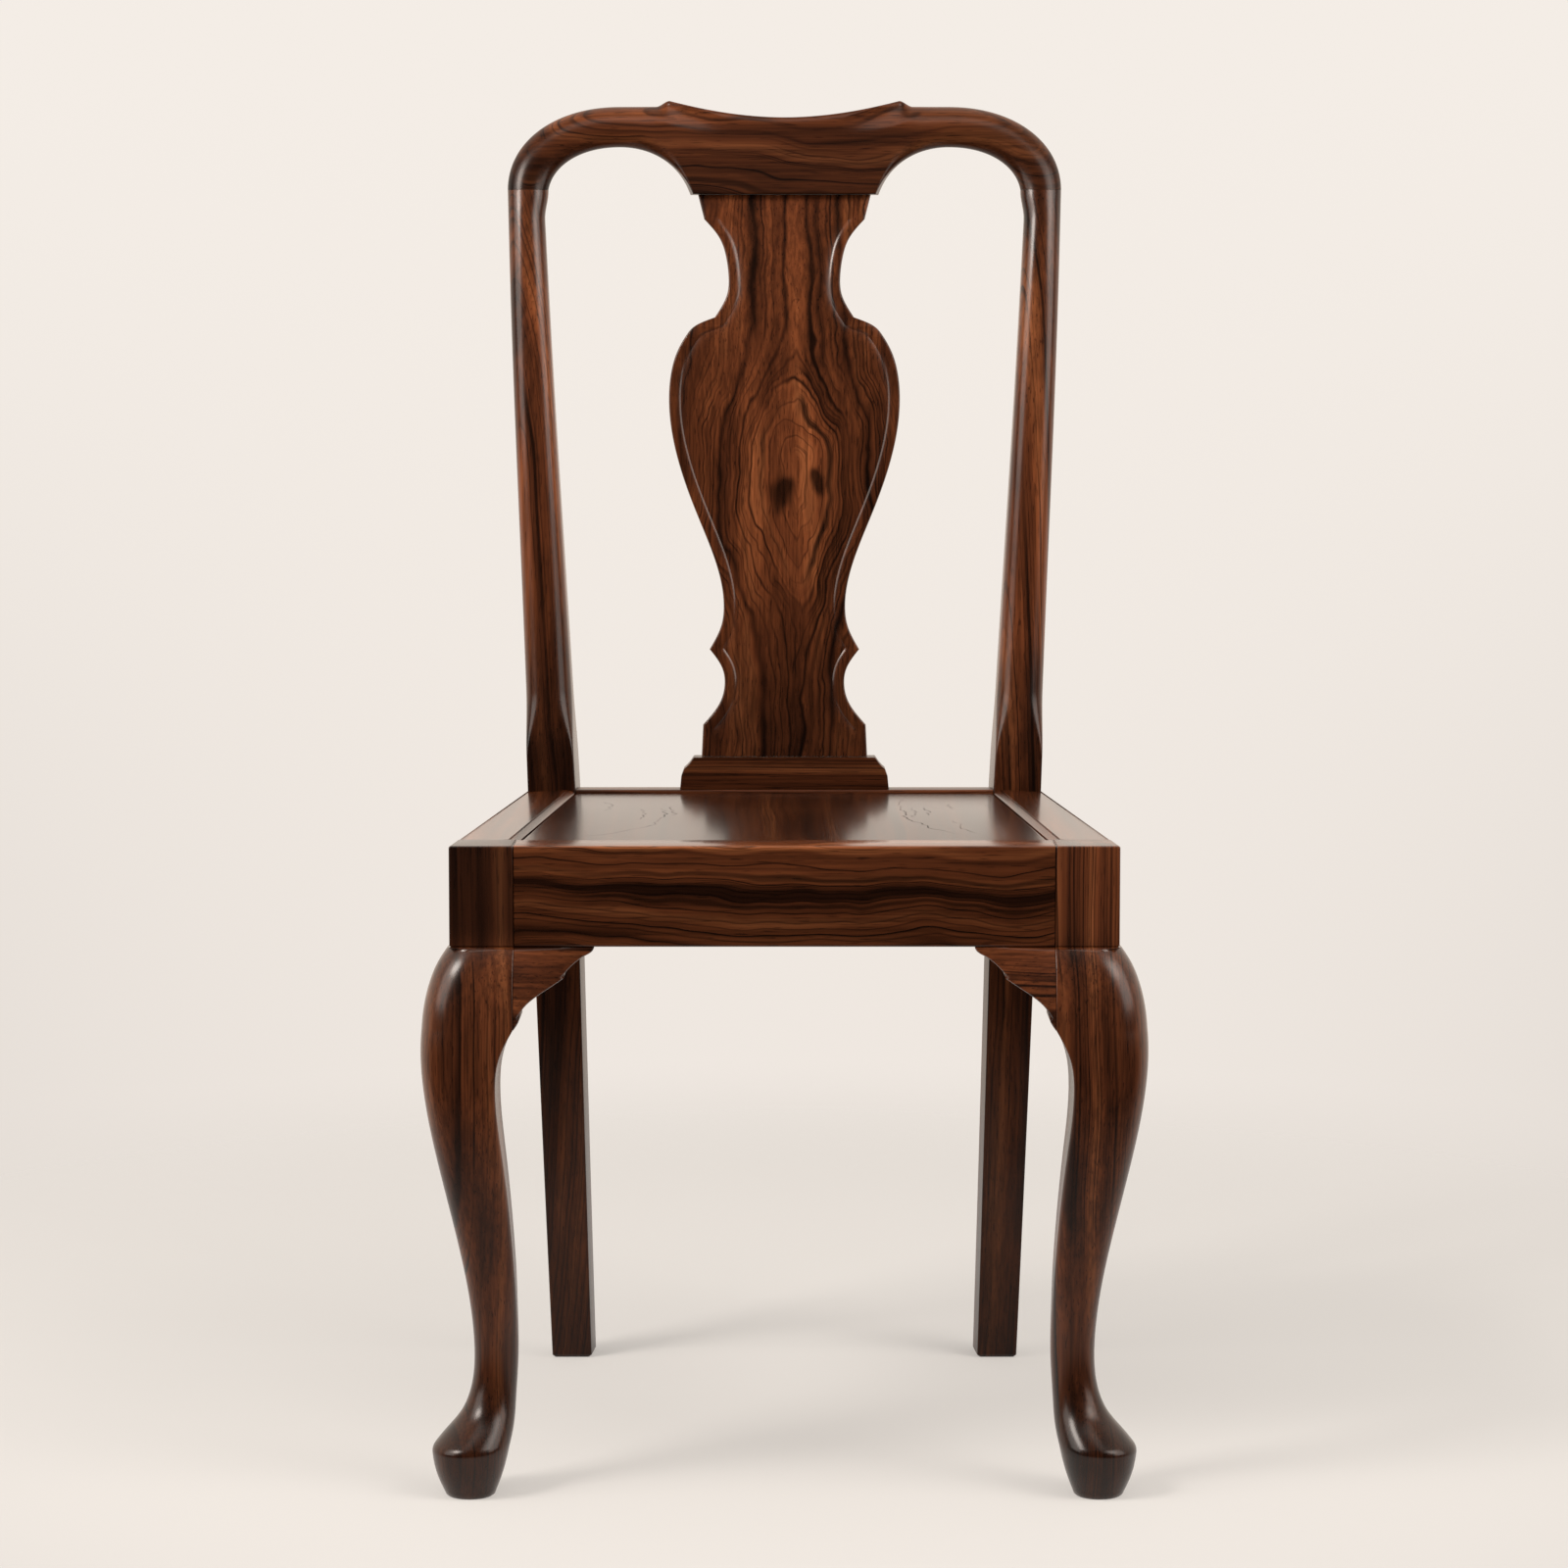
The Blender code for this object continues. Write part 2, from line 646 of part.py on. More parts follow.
def make_front_rail(shade):
    right = front_tenon()
    left = mirrored(right, -1)
    shoulder = post_inner_front - GAP
    limits = (0.0, FRONT_RAIL_THICKNESS, rail_bottom, SEAT_HEIGHT)
    body = [eased_ring(rectangle_yz(x, *limits), RAIL_EASE) for x in (-shoulder, shoulder)]
    rail = loft("front_rail", left[::-1] + body + right, rosewood("front_rail", shade))
    cut(rail, panel_groove)
    cut(rail, batten_mortises)
    return rail


def back_rail_end(low_y, high_y, low_z, high_z, shift, ease):
    """Ring parallel to the rear post's inner face, moved by shift into the post."""
    places = ((low_y, low_z), (high_y, low_z), (high_y, high_z), (low_y, high_z))
    corners = [Vector((post_inner(y, z) + shift, y, z)) for y, z in places]
    return eased_ring(corners, ease)


def back_tenon(clearance=0.0):
    middle = SEAT_DEPTH + BACK_RAIL_THICKNESS / 2
    half = TENON_THICKNESS / 2 + clearance
    end = MORTISE_END_GAP if clearance else 0.0
    start = -(CUT_OVERSHOOT if clearance else GAP)
    limits = (middle - half, middle + half, tenon_low - clearance, tenon_high + clearance)
    return [back_rail_end(*limits, shift, TENON_EASE) for shift in (start, back_tenon_length + end)]


def make_back_rail(shade):
    right = back_tenon()
    left = mirrored(right, -1)
    limits = (SEAT_DEPTH, SEAT_DEPTH + BACK_RAIL_THICKNESS, rail_bottom, SEAT_HEIGHT)
    end = back_rail_end(*limits, -GAP, RAIL_EASE)
    rings = left[::-1] + mirrored([end], -1) + [end] + right
    rail = loft("back_rail", rings, rosewood("back_rail", shade))
    cut(rail, panel_groove)
    cut(rail, batten_mortises)
    cut(rail, dowel_holes)
    return rail


def opening_ring(spread, z):
    """Outline of the frame's opening, moved outward by spread."""
    front = FRONT_RAIL_THICKNESS - spread
    rear = SEAT_DEPTH + spread
    shift = spread * math.sqrt(1 + opening_slope ** 2)
    front_x = opening_x(front) + shift
    rear_x = opening_x(rear) + shift
    return [Vector((-front_x, front, z)), Vector((front_x, front, z)),
            Vector((rear_x, rear, z)), Vector((-rear_x, rear, z))]


def panel_tongue_cut():
    high = panel_top - TONGUE_DROP + GAP
    low = panel_top - TONGUE_DROP - TONGUE_THICKNESS - GAP
    reach = TONGUE_LENGTH + MORTISE_END_GAP
    return [opening_ring(reach, low), opening_ring(reach, high)]


def make_seat_panel(shade):
    high = panel_top - TONGUE_DROP
    low = high - TONGUE_THICKNESS
    rings = [opening_ring(-PANEL_REVEAL, panel_bottom), opening_ring(-PANEL_REVEAL, low),
             opening_ring(TONGUE_LENGTH, low), opening_ring(TONGUE_LENGTH, high),
             opening_ring(-PANEL_REVEAL, high), opening_ring(-PANEL_REVEAL, panel_top)]
    return loft("seat_panel", rings, rosewood("seat_panel", shade))


def batten_rings(side, clearance=0.0):
    """Batten under the panel with its stub tenons, or only the two mortises' shared bar."""
    middle = side * BATTEN_SPREAD / 2
    high = panel_bottom - GAP
    low = high - BATTEN_HEIGHT
    half = BATTEN_WIDTH / 2
    front = FRONT_RAIL_THICKNESS
    inset = BATTEN_TENON_SHOULDER - clearance
    end = BATTEN_TENON_LENGTH + (MORTISE_END_GAP if clearance else 0.0)

    def ring(y, shoulder):
        return [Vector((middle - half + shoulder, y, low + shoulder)),
                Vector((middle + half - shoulder, y, low + shoulder)),
                Vector((middle + half - shoulder, y, high - shoulder)),
                Vector((middle - half + shoulder, y, high - shoulder))]

    tips = [ring(front - end, inset), ring(SEAT_DEPTH + end, inset)]
    if clearance:
        return tips
    front_shoulder = front + GAP
    rear_shoulder = SEAT_DEPTH - GAP
    return [tips[0], ring(front_shoulder, inset), ring(front_shoulder, 0.0),
            ring(rear_shoulder, 0.0), ring(rear_shoulder, inset), tips[1]]


# Rear posts

def post_ring(z, inset=0.0):
    """Section of the right rear post: square at the leg, rounded above the lamb's tongue."""
    width = post_width(z) - 2 * inset
    depth = post_depth(z) - 2 * inset
    front = back_y(z) + inset
    outer = post_outer(z) - inset
    shift = post_skew(z) * depth
    rear = front + depth
    corners = [Vector((outer, front, z)), Vector((outer - width, front, z)),
               Vector((outer - width - shift, rear, z)), Vector((outer - shift, rear, z))]
    eased = 2 * POST_EASE / width
    tongue = smooth_step(SEAT_HEIGHT + LAMB_TONGUE_START, SEAT_HEIGHT + LAMB_TONGUE_END, z)
    joint = smooth_step(crest_joint - STILE_BLEND_HEIGHT, crest_joint, z)
    front_round = mix(mix(eased, STILE_FRONT_ROUND, tongue), FULL_ROUND, joint)
    rear_round = mix(mix(eased, STILE_REAR_ROUND, tongue), FULL_ROUND, joint)
    return rounded_ring(corners, (front_round, front_round, rear_round, rear_round))


def stile_tenon_centre():
    z = crest_joint
    return Vector((post_outer(z) - post_width(z) / 2, back_y(z) + post_depth(z) / 2, z))


def post_rings():
    rings = [post_ring(0.0, POST_FOOT_CHAMFER), post_ring(POST_FOOT_CHAMFER)]
    heights = [rail_bottom * (i + 1) / LEG_STEPS for i in range(LEG_STEPS)] + [SEAT_HEIGHT]
    tongue_start = SEAT_HEIGHT + LAMB_TONGUE_START
    stile_start = SEAT_HEIGHT + LAMB_TONGUE_END
    heights += [mix(tongue_start, stile_start, i / TONGUE_STEPS) for i in range(TONGUE_STEPS)]
    flare_start = crest_joint - POST_FLARE_HEIGHT
    heights += [mix(stile_start, flare_start, i / STILE_STEPS) for i in range(STILE_STEPS)]
    top = crest_joint - GAP
    heights += [flare_start, (flare_start + top) / 2, top]
    rings += [post_ring(z) for z in heights]
    centre = stile_tenon_centre()
    for z in (top, crest_joint + STILE_TENON_LENGTH):
        level = [Vector((point.x, point.y, z)) for point in rings[-1]]
        rings.append(circle_like(level, Vector((centre.x, centre.y, z)), STILE_TENON_RADIUS))
    return rings


def make_rear_post(name, side, shade):
    post = loft(name, mirrored(post_rings(), side), rosewood(name, shade))
    cut(post, cutter(name + "_side_mortise", mirrored(side_rear_tenon(GAP), side)))
    cut(post, cutter(name + "_back_mortise", mirrored(back_tenon(GAP), side)))
    cut(post, panel_groove)
    return post


# Crest rail

def crest_top(x):
    """Upper edge from the centre's dip over the yoke's peak and its step to the round arm."""
    peak = YOKE_PEAK_SPREAD / 2
    if x < peak:
        return BACK_HEIGHT - CREST_DIP * (1 - (x / peak) ** CREST_DIP_BEND)
    return BACK_HEIGHT - CREST_ARM_DROP * smooth_step(peak, peak + YOKE_STEP_LENGTH, x)


def scoop(x, z):
    """Depth of the thumb-shaped hollow under the yoke's peak."""
    outward = abs(x) - SCOOP_PLACE
    along = outward / (SCOOP_OUT if outward > 0 else SCOOP_IN)
    below = BACK_HEIGHT - SCOOP_DROP - z - SCOOP_TILT * outward
    down = below / (SCOOP_BELOW if below > 0 else SCOOP_ABOVE)
    reach = along ** 2 + down ** 2
    return SCOOP_DEPTH * max(1 - reach, 0.0) ** 2


def crest_ring(top, bottom, depth, rounding, draft=(0.0, 0.0)):
    """Section between a point on the upper edge and one on the lower edge, given as (x, z)."""
    upper, lower, rear = rounding
    top_y = back_y(top[1])
    bottom_y = back_y(bottom[1])
    corners = [Vector((top[0], top_y, top[1])), Vector((bottom[0], bottom_y, bottom[1])),
               Vector((bottom[0] + draft[0], bottom_y + depth, bottom[1] + draft[1])),
               Vector((top[0], top_y + depth, top[1]))]
    ring = rounded_ring(corners, (upper, lower, lower, rear))
    face_start = ring[CORNER_STEPS]
    face_end = ring[CORNER_STEPS + 1]
    face = [face_start.lerp(face_end, i / FACE_STEPS) for i in range(1, FACE_STEPS)]
    front = ring[:CORNER_STEPS + 1] + face + ring[CORNER_STEPS + 1:2 * CORNER_STEPS + 2]
    carved = [point + Vector((0, scoop(point.x, point.z), 0)) for point in front]
    return carved + ring[2 * CORNER_STEPS + 2:]


def arch_corner():
    """Where the arch's inner curve meets the crest's lower edge."""
    arch_top = BACK_HEIGHT - ARCH_TOP_DROP
    sink = 1 - (arch_top - crest_bottom) / ARCH_INNER_RISE
    return math.asin(sink)


def crest_half():
    """Rings from the right stile to the centre."""
    crown = ARM_CROWN_SPREAD / 2
    arm_top = BACK_HEIGHT - CREST_ARM_DROP
    arch_top = BACK_HEIGHT - ARCH_TOP_DROP
    joint_outer = post_outer(crest_joint)
    joint_inner = joint_outer - post_width(crest_joint)
    spring = crest_joint - ARCH_SPRING
    fullness = 2 / ARM_FULLNESS
    spring_angle = math.asin((ARCH_SPRING / (arch_top - spring)) ** (1 / fullness))
    arch_reach = (joint_inner - crown) / math.cos(spring_angle) ** fullness
    rings = []
    for i in range(ARM_STEPS + 1):
        angle = math.pi / 2 * i / ARM_STEPS
        across = max(math.cos(angle), 0.0) ** fullness
        up = math.sin(angle) ** fullness
        top = (mix(crown, joint_outer, across), mix(crest_joint, arm_top, up))
        under = mix(spring_angle, math.pi / 2, i / ARM_STEPS)
        reach = arch_reach * max(math.cos(under), 0.0) ** fullness
        rise = (arch_top - spring) * math.sin(under) ** fullness
        bottom = (crown + reach, spring + rise)
        depth = mix(POST_TOP_DEPTH, CREST_ARM_DEPTH, i / ARM_STEPS)
        rings.append(crest_ring(top, bottom, depth, (FULL_ROUND,) * 3))
    end_angle = arch_corner()
    corner = crown - ARCH_INNER_RADIUS * math.cos(end_angle)
    centre_z = arch_top - ARCH_INNER_RISE
    yoke_rounding = (YOKE_TOP_ROUND, YOKE_BOTTOM_ROUND, YOKE_REAR_ROUND)
    for i in range(1, NECK_STEPS + 1):
        share = i / NECK_STEPS
        x = mix(crown, corner, share)
        angle = mix(math.pi / 2, end_angle, share)
        under_x = crown - ARCH_INNER_RADIUS * math.cos(angle)
        under_z = centre_z + ARCH_INNER_RISE * math.sin(angle)
        flat = smooth_step(YOKE_FLAT_START, 1.0, share)
        depth = mix(CREST_ARM_DEPTH, CREST_YOKE_DEPTH, share)
        rounding = [mix(FULL_ROUND, yoke, flat) for yoke in yoke_rounding]
        draft = (flat * ARCH_DRAFT * math.cos(angle), -flat * ARCH_DRAFT * math.sin(angle) * (1 - share))
        rings.append(crest_ring((x, crest_top(x)), (under_x, under_z), depth, rounding, draft))
    for i in range(1, YOKE_STEPS + 1):
        x = corner * (1 - i / YOKE_STEPS)
        rings.append(crest_ring((x, crest_top(x)), (x, crest_bottom), CREST_YOKE_DEPTH, yoke_rounding))
    return rings


def make_crest_rail(shade):
    right = crest_half()
    left = mirrored(right, -1)
    crest = loft("crest_rail", right + left[-2::-1], rosewood("crest_rail", shade))
    centre = stile_tenon_centre()
    profile = [(-CUT_OVERSHOOT, STILE_TENON_RADIUS + GAP),
               (STILE_TENON_LENGTH + MORTISE_END_GAP, STILE_TENON_RADIUS + GAP)]
    sockets = turned(centre, Vector((0, 0, 1)), profile)
    cut(crest, cutter("stile_tenon_sockets", sockets, mirrored(sockets, -1)))
    cut(crest, cutter("splat_top_mortise", splat_tongue(splat_high, 1, GAP)))
    return crest


# Splat and shoe

def splat_half(share):
    """Half width of the splat at a share of its height."""
    base, base_width = SPLAT_BASE
    if share <= base:
        return mix(SPLAT_BOTTOM_WIDTH / 2, base_width * SPLAT_WIDTH / 2, share / base)
    for stretch, curve in zip(splat_stretches, splat_curves):
        if share <= stretch[-1][0]:
            return curve(share) * SPLAT_WIDTH / 2
    start, width = SPLAT_NECK[-1]
    return mix(width * SPLAT_WIDTH / 2, SPLAT_TOP_WIDTH / 2, (share - start) / (1 - start))


def splat_inset(z, distance):
    """Half width, at a height, of the shape that lies at least a distance inside the splat's edge."""
    halves = []
    for i in range(-INSET_STEPS, INSET_STEPS + 1):
        rise = distance * i / INSET_STEPS
        share = min(max((z + rise - splat_low) / (splat_high - splat_low), 0.0), 1.0)
        halves.append(splat_half(share) - math.sqrt(max(distance ** 2 - rise ** 2, 0.0)))
    return min(halves)


def splat_ring(z):
    """Section: raised rim, groove and a field that rolls up from it in front, bevelled edges behind."""
    half = splat_half((z - splat_low) / (splat_high - splat_low))
    front = back_y(z) + SPLAT_SETBACK
    nearest_end = min(z - splat_low, splat_high - z)
    carved = smooth_step(SPLAT_PLAIN_END, 2 * SPLAT_PLAIN_END, nearest_end)
    right = [(0.0, 0.0)]
    for i in range(ROLL_STEPS + 1):
        share = 1 - i / ROLL_STEPS
        fall = SPLAT_GROOVE_DEPTH * carved * (1 - share) ** SPLAT_ROLL_BEND
        right.append((splat_inset(z, SPLAT_RIM + SPLAT_GROOVE_WALL + SPLAT_ROLL * share), fall))
    right += [(splat_inset(z, SPLAT_RIM), 0.0), (half, 0.0),
              (half, SPLAT_THICKNESS / 2), (half - SPLAT_BACK_BEVEL, SPLAT_THICKNESS)]
    ring = [Vector((x, front + depth, z)) for x, depth in right]
    return ring + [Vector((-point.x, point.y, z)) for point in ring[:0:-1]]


def splat_tongue(z, direction, clearance=0.0):
    """Tongue at the splat's top (direction 1) or bottom (-1), or the mortise for it."""
    width = SPLAT_TOP_WIDTH if direction > 0 else SPLAT_BOTTOM_WIDTH
    half = width / 2 - SPLAT_TONGUE_SHOULDER + clearance
    middle = back_y(z) + SPLAT_SETBACK + SPLAT_THICKNESS / 2
    low_y = middle - SPLAT_TONGUE_THICKNESS / 2 - clearance
    high_y = middle + SPLAT_TONGUE_THICKNESS / 2 + clearance
    start = z - direction * (CUT_OVERSHOOT if clearance else 0.0)
    end = z + direction * (SPLAT_TONGUE_LENGTH + (MORTISE_END_GAP if clearance else 0.0))
    return [rectangle_xy(-half, half, low_y, high_y, level) for level in (start, end)]


def tongue_like(ring, tongue):
    """The tongue's rectangle with a point for each point of the splat's section."""
    half = tongue[1].x
    front, rear = tongue[0].y, tongue[2].y
    widest = max(point.x for point in ring)
    deepest = max(point.y for point in ring)
    shallowest = min(point.y for point in ring)
    result = []
    for point in ring:
        share = (point.y - shallowest) / (deepest - shallowest)
        at_side = abs(point.x) > widest - SPLAT_BACK_BEVEL - GAP
        x = math.copysign(half, point.x) if at_side else point.x / widest * half
        result.append(Vector((x, mix(front, rear, share) if at_side else front, tongue[0].z)))
    return result


def make_splat(shade):
    heights = [0.0, SPLAT_BASE[0]]
    for stretch, count in zip(splat_stretches, SPLAT_STEPS):
        start, end = stretch[0][0], stretch[-1][0]
        heights += [mix(start, end, (i + 1) / count) for i in range(count)]
    heights.append(1.0)
    rings = [splat_ring(mix(splat_low, splat_high, share)) for share in heights]
    foot = [tongue_like(rings[0], ring) for ring in splat_tongue(splat_low, -1)]
    head = [tongue_like(rings[-1], ring) for ring in splat_tongue(splat_high, 1)]
    return loft("splat", foot[::-1] + rings + head, rosewood("splat", shade))


def make_shoe(shade):
    base = SEAT_HEIGHT + GAP
    front = SEAT_DEPTH + SHOE_SETBACK
    rear = front + SHOE_DEPTH

    def ring(z, shorter):
        half = SHOE_LENGTH / 2 - shorter
        return rectangle_xy(-half, half, front, rear, z)

    rings = [ring(base, 0.0)] + [ring(shoe_top - drop, shorter) for drop, shorter in SHOE_MOULDING]
    rings.append(ring(shoe_top, SHOE_MOULDING[-1][1] + SHOE_MOULDING[-1][0]))
    shoe = loft("splat_shoe", rings, rosewood("splat_shoe", shade))
    cut(shoe, cutter("splat_foot_mortise", splat_tongue(splat_low, -1, GAP)))
    cut(shoe, dowel_holes)
    return shoe


def dowel_rings(side, clearance=0.0):
    """Dowel between back rail and shoe, or the hole for it."""
    end = MORTISE_END_GAP if clearance else 0.0
    half = DOWEL_LENGTH / 2 + end
    profile = [(-half, DOWEL_RADIUS + clearance), (half, DOWEL_RADIUS + clearance)]
    centre = Vector((side * DOWEL_SPREAD / 2, SEAT_DEPTH + BACK_RAIL_THICKNESS / 2, SEAT_HEIGHT))
    return turned(centre, Vector((0, 0, 1)), profile)


# Corner blocks and screws

def block_corner(rear):
    """Corner of the opening on the right: point, run along the cross rail, run along the side rail."""
    across = Vector((-1, 0, 0))
    along = Vector((-opening_slope, 1, 0))
    if rear:
        return Vector((opening_x(SEAT_DEPTH), SEAT_DEPTH, 0)), across, -along
    return Vector((opening_x(FRONT_RAIL_THICKNESS), FRONT_RAIL_THICKNESS, 0)), across, along


def block_outline(rear):
    corner, across, along = block_corner(rear)
    inward = -1 if rear else 1
    inner = corner + Vector((-2 * GAP, inward * GAP, 0))
    return [inner, inner + across * BLOCK_LEG, inner + across * BLOCK_LEG + along * BLOCK_TIP,
            inner + along * BLOCK_LEG + across * BLOCK_TIP, inner + along * BLOCK_LEG]


def screw_place(side, rear, into_side_rail):
    """Place on the rail's inner face and direction into the rail."""
    corner, across, along = block_corner(rear)
    if into_side_rail:
        point = corner + along * SCREW_PLACE
        into = Vector((1, opening_slope, 0))
    else:
        point = corner + across * SCREW_PLACE
        into = Vector((0, 1 if rear else -1, 0))
    z = rail_bottom + BLOCK_RAISE + BLOCK_HEIGHT / 2
    return Vector((side * point.x, point.y, z)), Vector((side * into.x, into.y, 0))


def screw_rings(side, rear, into_side_rail, clearance=0.0):
    """Screw with its head sunk in the block, or the stepped hole for it."""
    place, into = screw_place(side, rear, into_side_rail)
    head = -SCREW_WOOD
    shank = SCREW_RADIUS + clearance
    wide = SCREW_HEAD_RADIUS + clearance
    tip = SCREW_BITE + (MORTISE_END_GAP if clearance else 0.0)
    back = head - (BLOCK_LEG if clearance else SCREW_HEAD_HEIGHT)
    seat = head + clearance
    return turned(place, into, [(back, wide), (seat, wide), (seat, shank), (tip, shank)])


def make_corner_block(place, side, rear, cross_rail, side_rail):
    """Block glued in a corner of the frame, with a screw into each of the two rails."""
    low = rail_bottom + BLOCK_RAISE
    outline = block_outline(rear)
    levels = (low, low + BLOCK_HEIGHT)
    rings = [[Vector((side * point.x, point.y, z)) for point in outline] for z in levels]
    name = "corner_block_" + place
    block = loft(name, rings, rosewood(name, BLOCK_SHADE))
    for into_side_rail, rail, word in ((False, cross_rail, "_cross"), (True, side_rail, "_side")):
        screw = "block_screw_" + place + word
        hole = cutter(screw + "_hole", screw_rings(side, rear, into_side_rail, GAP))
        cut(block, hole)
        cut(rail, hole)
        loft(screw, screw_rings(side, rear, into_side_rail), steel(screw))
    return block


def centre_on_floor():
    """Move the chair so that the origin lies under the middle of its bounding box."""
    pieces = [piece for piece in chair.children if not piece.hide_render]
    depths = [vertex.co.y for piece in pieces for vertex in piece.data.vertices]
    chair.location.y = -(min(depths) + max(depths)) / 2


for old in list(bpy.data.objects):
    bpy.data.objects.remove(old)

chair = bpy.data.objects.new("chair", None)
bpy.context.collection.objects.link(chair)

splat_stretches = (SPLAT_SCALLOP, SPLAT_VASE, SPLAT_NECK)
splat_curves = [smooth_curve(stretch) for stretch in splat_stretches]

panel_groove = cutter("panel_groove", panel_tongue_cut())
batten_mortises = cutter("batten_mortises", batten_rings(-1, GAP), batten_rings(1, GAP))
dowel_holes = cutter("dowel_holes", dowel_rings(-1, GAP), dowel_rings(1, GAP))

front_rail = make_front_rail(RAIL_SHADE)
back_rail = make_back_rail(RAIL_SHADE)
make_seat_panel(PANEL_SHADE)
make_crest_rail(POST_SHADE)
make_splat(PANEL_SHADE)
make_shoe(POST_SHADE)
for side, word in ((-1, "left"), (1, "right")):
    make_front_leg("front_leg_" + word, side, POST_SHADE)
    make_rear_post("rear_post_" + word, side, POST_SHADE)
    side_rail = make_side_rail("side_rail_" + word, side, RAIL_SHADE)
    make_bracket("front_bracket_" + word, side, False, RAIL_SHADE)
    make_bracket("side_bracket_" + word, side, True, RAIL_SHADE)
    loft("seat_batten_" + word, batten_rings(side), rosewood("seat_batten_" + word, BLOCK_SHADE))
    loft("shoe_dowel_" + word, dowel_rings(side), rosewood("shoe_dowel_" + word, BLOCK_SHADE))
    make_corner_block("front_" + word, side, False, front_rail, side_rail)
    make_corner_block("rear_" + word, side, True, back_rail, side_rail)
centre_on_floor()
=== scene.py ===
"""Looks of the rosewood dining chair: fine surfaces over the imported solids, wood figure, light and camera.

Pieces are drawn with +X to the viewer's right, +Y to the back, +Z up and Y = 0 on the front rail's
face, then moved to where the frame has that face. Left and right are the viewer's. Sizes are metres.
"""
import math

import bmesh
import bpy
import numpy
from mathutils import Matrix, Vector


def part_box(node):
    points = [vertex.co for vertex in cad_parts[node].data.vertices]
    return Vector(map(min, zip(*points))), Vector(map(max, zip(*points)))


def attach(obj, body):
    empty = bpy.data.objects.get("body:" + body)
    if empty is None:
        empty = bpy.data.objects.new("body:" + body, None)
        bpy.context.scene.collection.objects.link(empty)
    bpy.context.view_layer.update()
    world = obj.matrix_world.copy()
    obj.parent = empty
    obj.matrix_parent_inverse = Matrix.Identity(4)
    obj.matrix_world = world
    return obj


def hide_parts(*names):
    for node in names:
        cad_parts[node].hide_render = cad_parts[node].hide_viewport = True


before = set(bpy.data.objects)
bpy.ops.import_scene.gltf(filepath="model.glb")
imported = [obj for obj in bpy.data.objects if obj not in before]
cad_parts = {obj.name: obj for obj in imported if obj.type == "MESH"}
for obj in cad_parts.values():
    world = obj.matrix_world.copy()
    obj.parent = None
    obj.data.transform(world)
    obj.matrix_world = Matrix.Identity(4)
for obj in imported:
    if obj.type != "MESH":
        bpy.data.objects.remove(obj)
scene = bpy.context.scene
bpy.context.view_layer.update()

# Overall sizes of the chair, as the solids have them
BACK_HEIGHT = 1.0157
SEAT_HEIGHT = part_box("front_rail")[1].z
SEAT_FRONT_WIDTH = 0.4722
SEAT_BACK_WIDTH = 0.4092
SEAT_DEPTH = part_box("back_rail")[0].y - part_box("front_rail")[0].y
GAP = 0.0003

# Seat frame and panel
RAIL_HEIGHT = SEAT_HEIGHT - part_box("front_rail")[0].z
FRONT_RAIL_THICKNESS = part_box("front_rail")[1].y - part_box("front_rail")[0].y
BACK_RAIL_THICKNESS = 0.0255
RAIL_BEVEL_WIDTH = 0.0055
RAIL_EASE = 0.0018
RAIL_QUIRK = 0.0008
RAIL_QUIRK_DEPTH = 0.003
RAIL_QUIRK_LIP = RAIL_QUIRK / 3
PANEL_DROP = 0.0026
PANEL_THICKNESS = 0.014
PANEL_REVEAL = 0.0014
PANEL_EASE = 0.0009

# Front legs: projections are measured outward from the post's faces
FRONT_POST = 0.0456
POST_EASE = 0.0015
POST_QUIRK = 0.0008
FOOT_RIM_HEIGHT = 0.035
FOOT_RIM_OUT = 0.0156
FOOT_RIM_IN = -0.0398
FOOT_RIM_EASE = 0.0026
SOLE_OUT = 0.0049
SOLE_IN = -0.0288
SOLE_EASE = 0.0015
FOOT_FLANK_SWELL = 0.0022
# Knee's swell: (drop below the rail, projection)
KNEE_LINE = [(0.0015, 0.0036), (0.01, 0.0091), (0.0235, 0.0149), (0.0445, 0.0197),
             (0.0655, 0.0212), (0.0965, 0.0198), (0.1385, 0.0136)]
# Front of shank, ankle and instep: (height, projection)
SHANK_LINE = [(0.152, -0.0088), (0.109, -0.0137), (0.088, -0.0136), (0.067, -0.0092),
              (0.056, -0.0032), (0.045, 0.007)]
# Back of the knee, below the bracket: (drop below the bracket's foot, projection)
KNEE_BACK_LINE = [(0.009, -0.0408), (0.019, -0.0366), (0.042, -0.0333), (0.093, -0.0371)]
# Back of shank, ankle and heel: (height, projection)
SHANK_BACK_LINE = [(0.162, -0.0438), (0.125, -0.0453), (0.099, -0.0456), (0.067, -0.0439),
                   (0.045, -0.042)]
KNEE_EDGE_ROUND = 0.9
SIDE_EDGE_ROUND = 0.03
HEEL_EDGE_ROUND = 0.16
SHANK_EDGE_ROUND = 0.42
SHANK_SQUARE_SHARE = 0.5
SHANK_ROUND_SHARE = 0.3

# Knee brackets: (along the rail, drop below the rail), from the tip to the foot on the leg
BRACKET_THICKNESS = 0.028
BRACKET_SETBACK = 0.0006
BRACKET_LENGTH = 0.0565
BRACKET_FOOT = 0.0566
BRACKET_FADE = 0.9
BRACKET_EASE = 0.001
BRACKET_NOSE = [(0.0559, 0.002), (0.0524, 0.0051), (0.0484, 0.007)]
BRACKET_STEP = [(0.0409, 0.013), (0.0343, 0.02)]
BRACKET_HOLLOW = [(0.035, 0.0218), (0.0268, 0.0271), (0.0154, 0.0343), (0.0075, 0.0412),
                  (0.0031, 0.0478)]
BRACKET_SCROLL = [(0.0042, 0.0493), (0.0034, 0.052)]

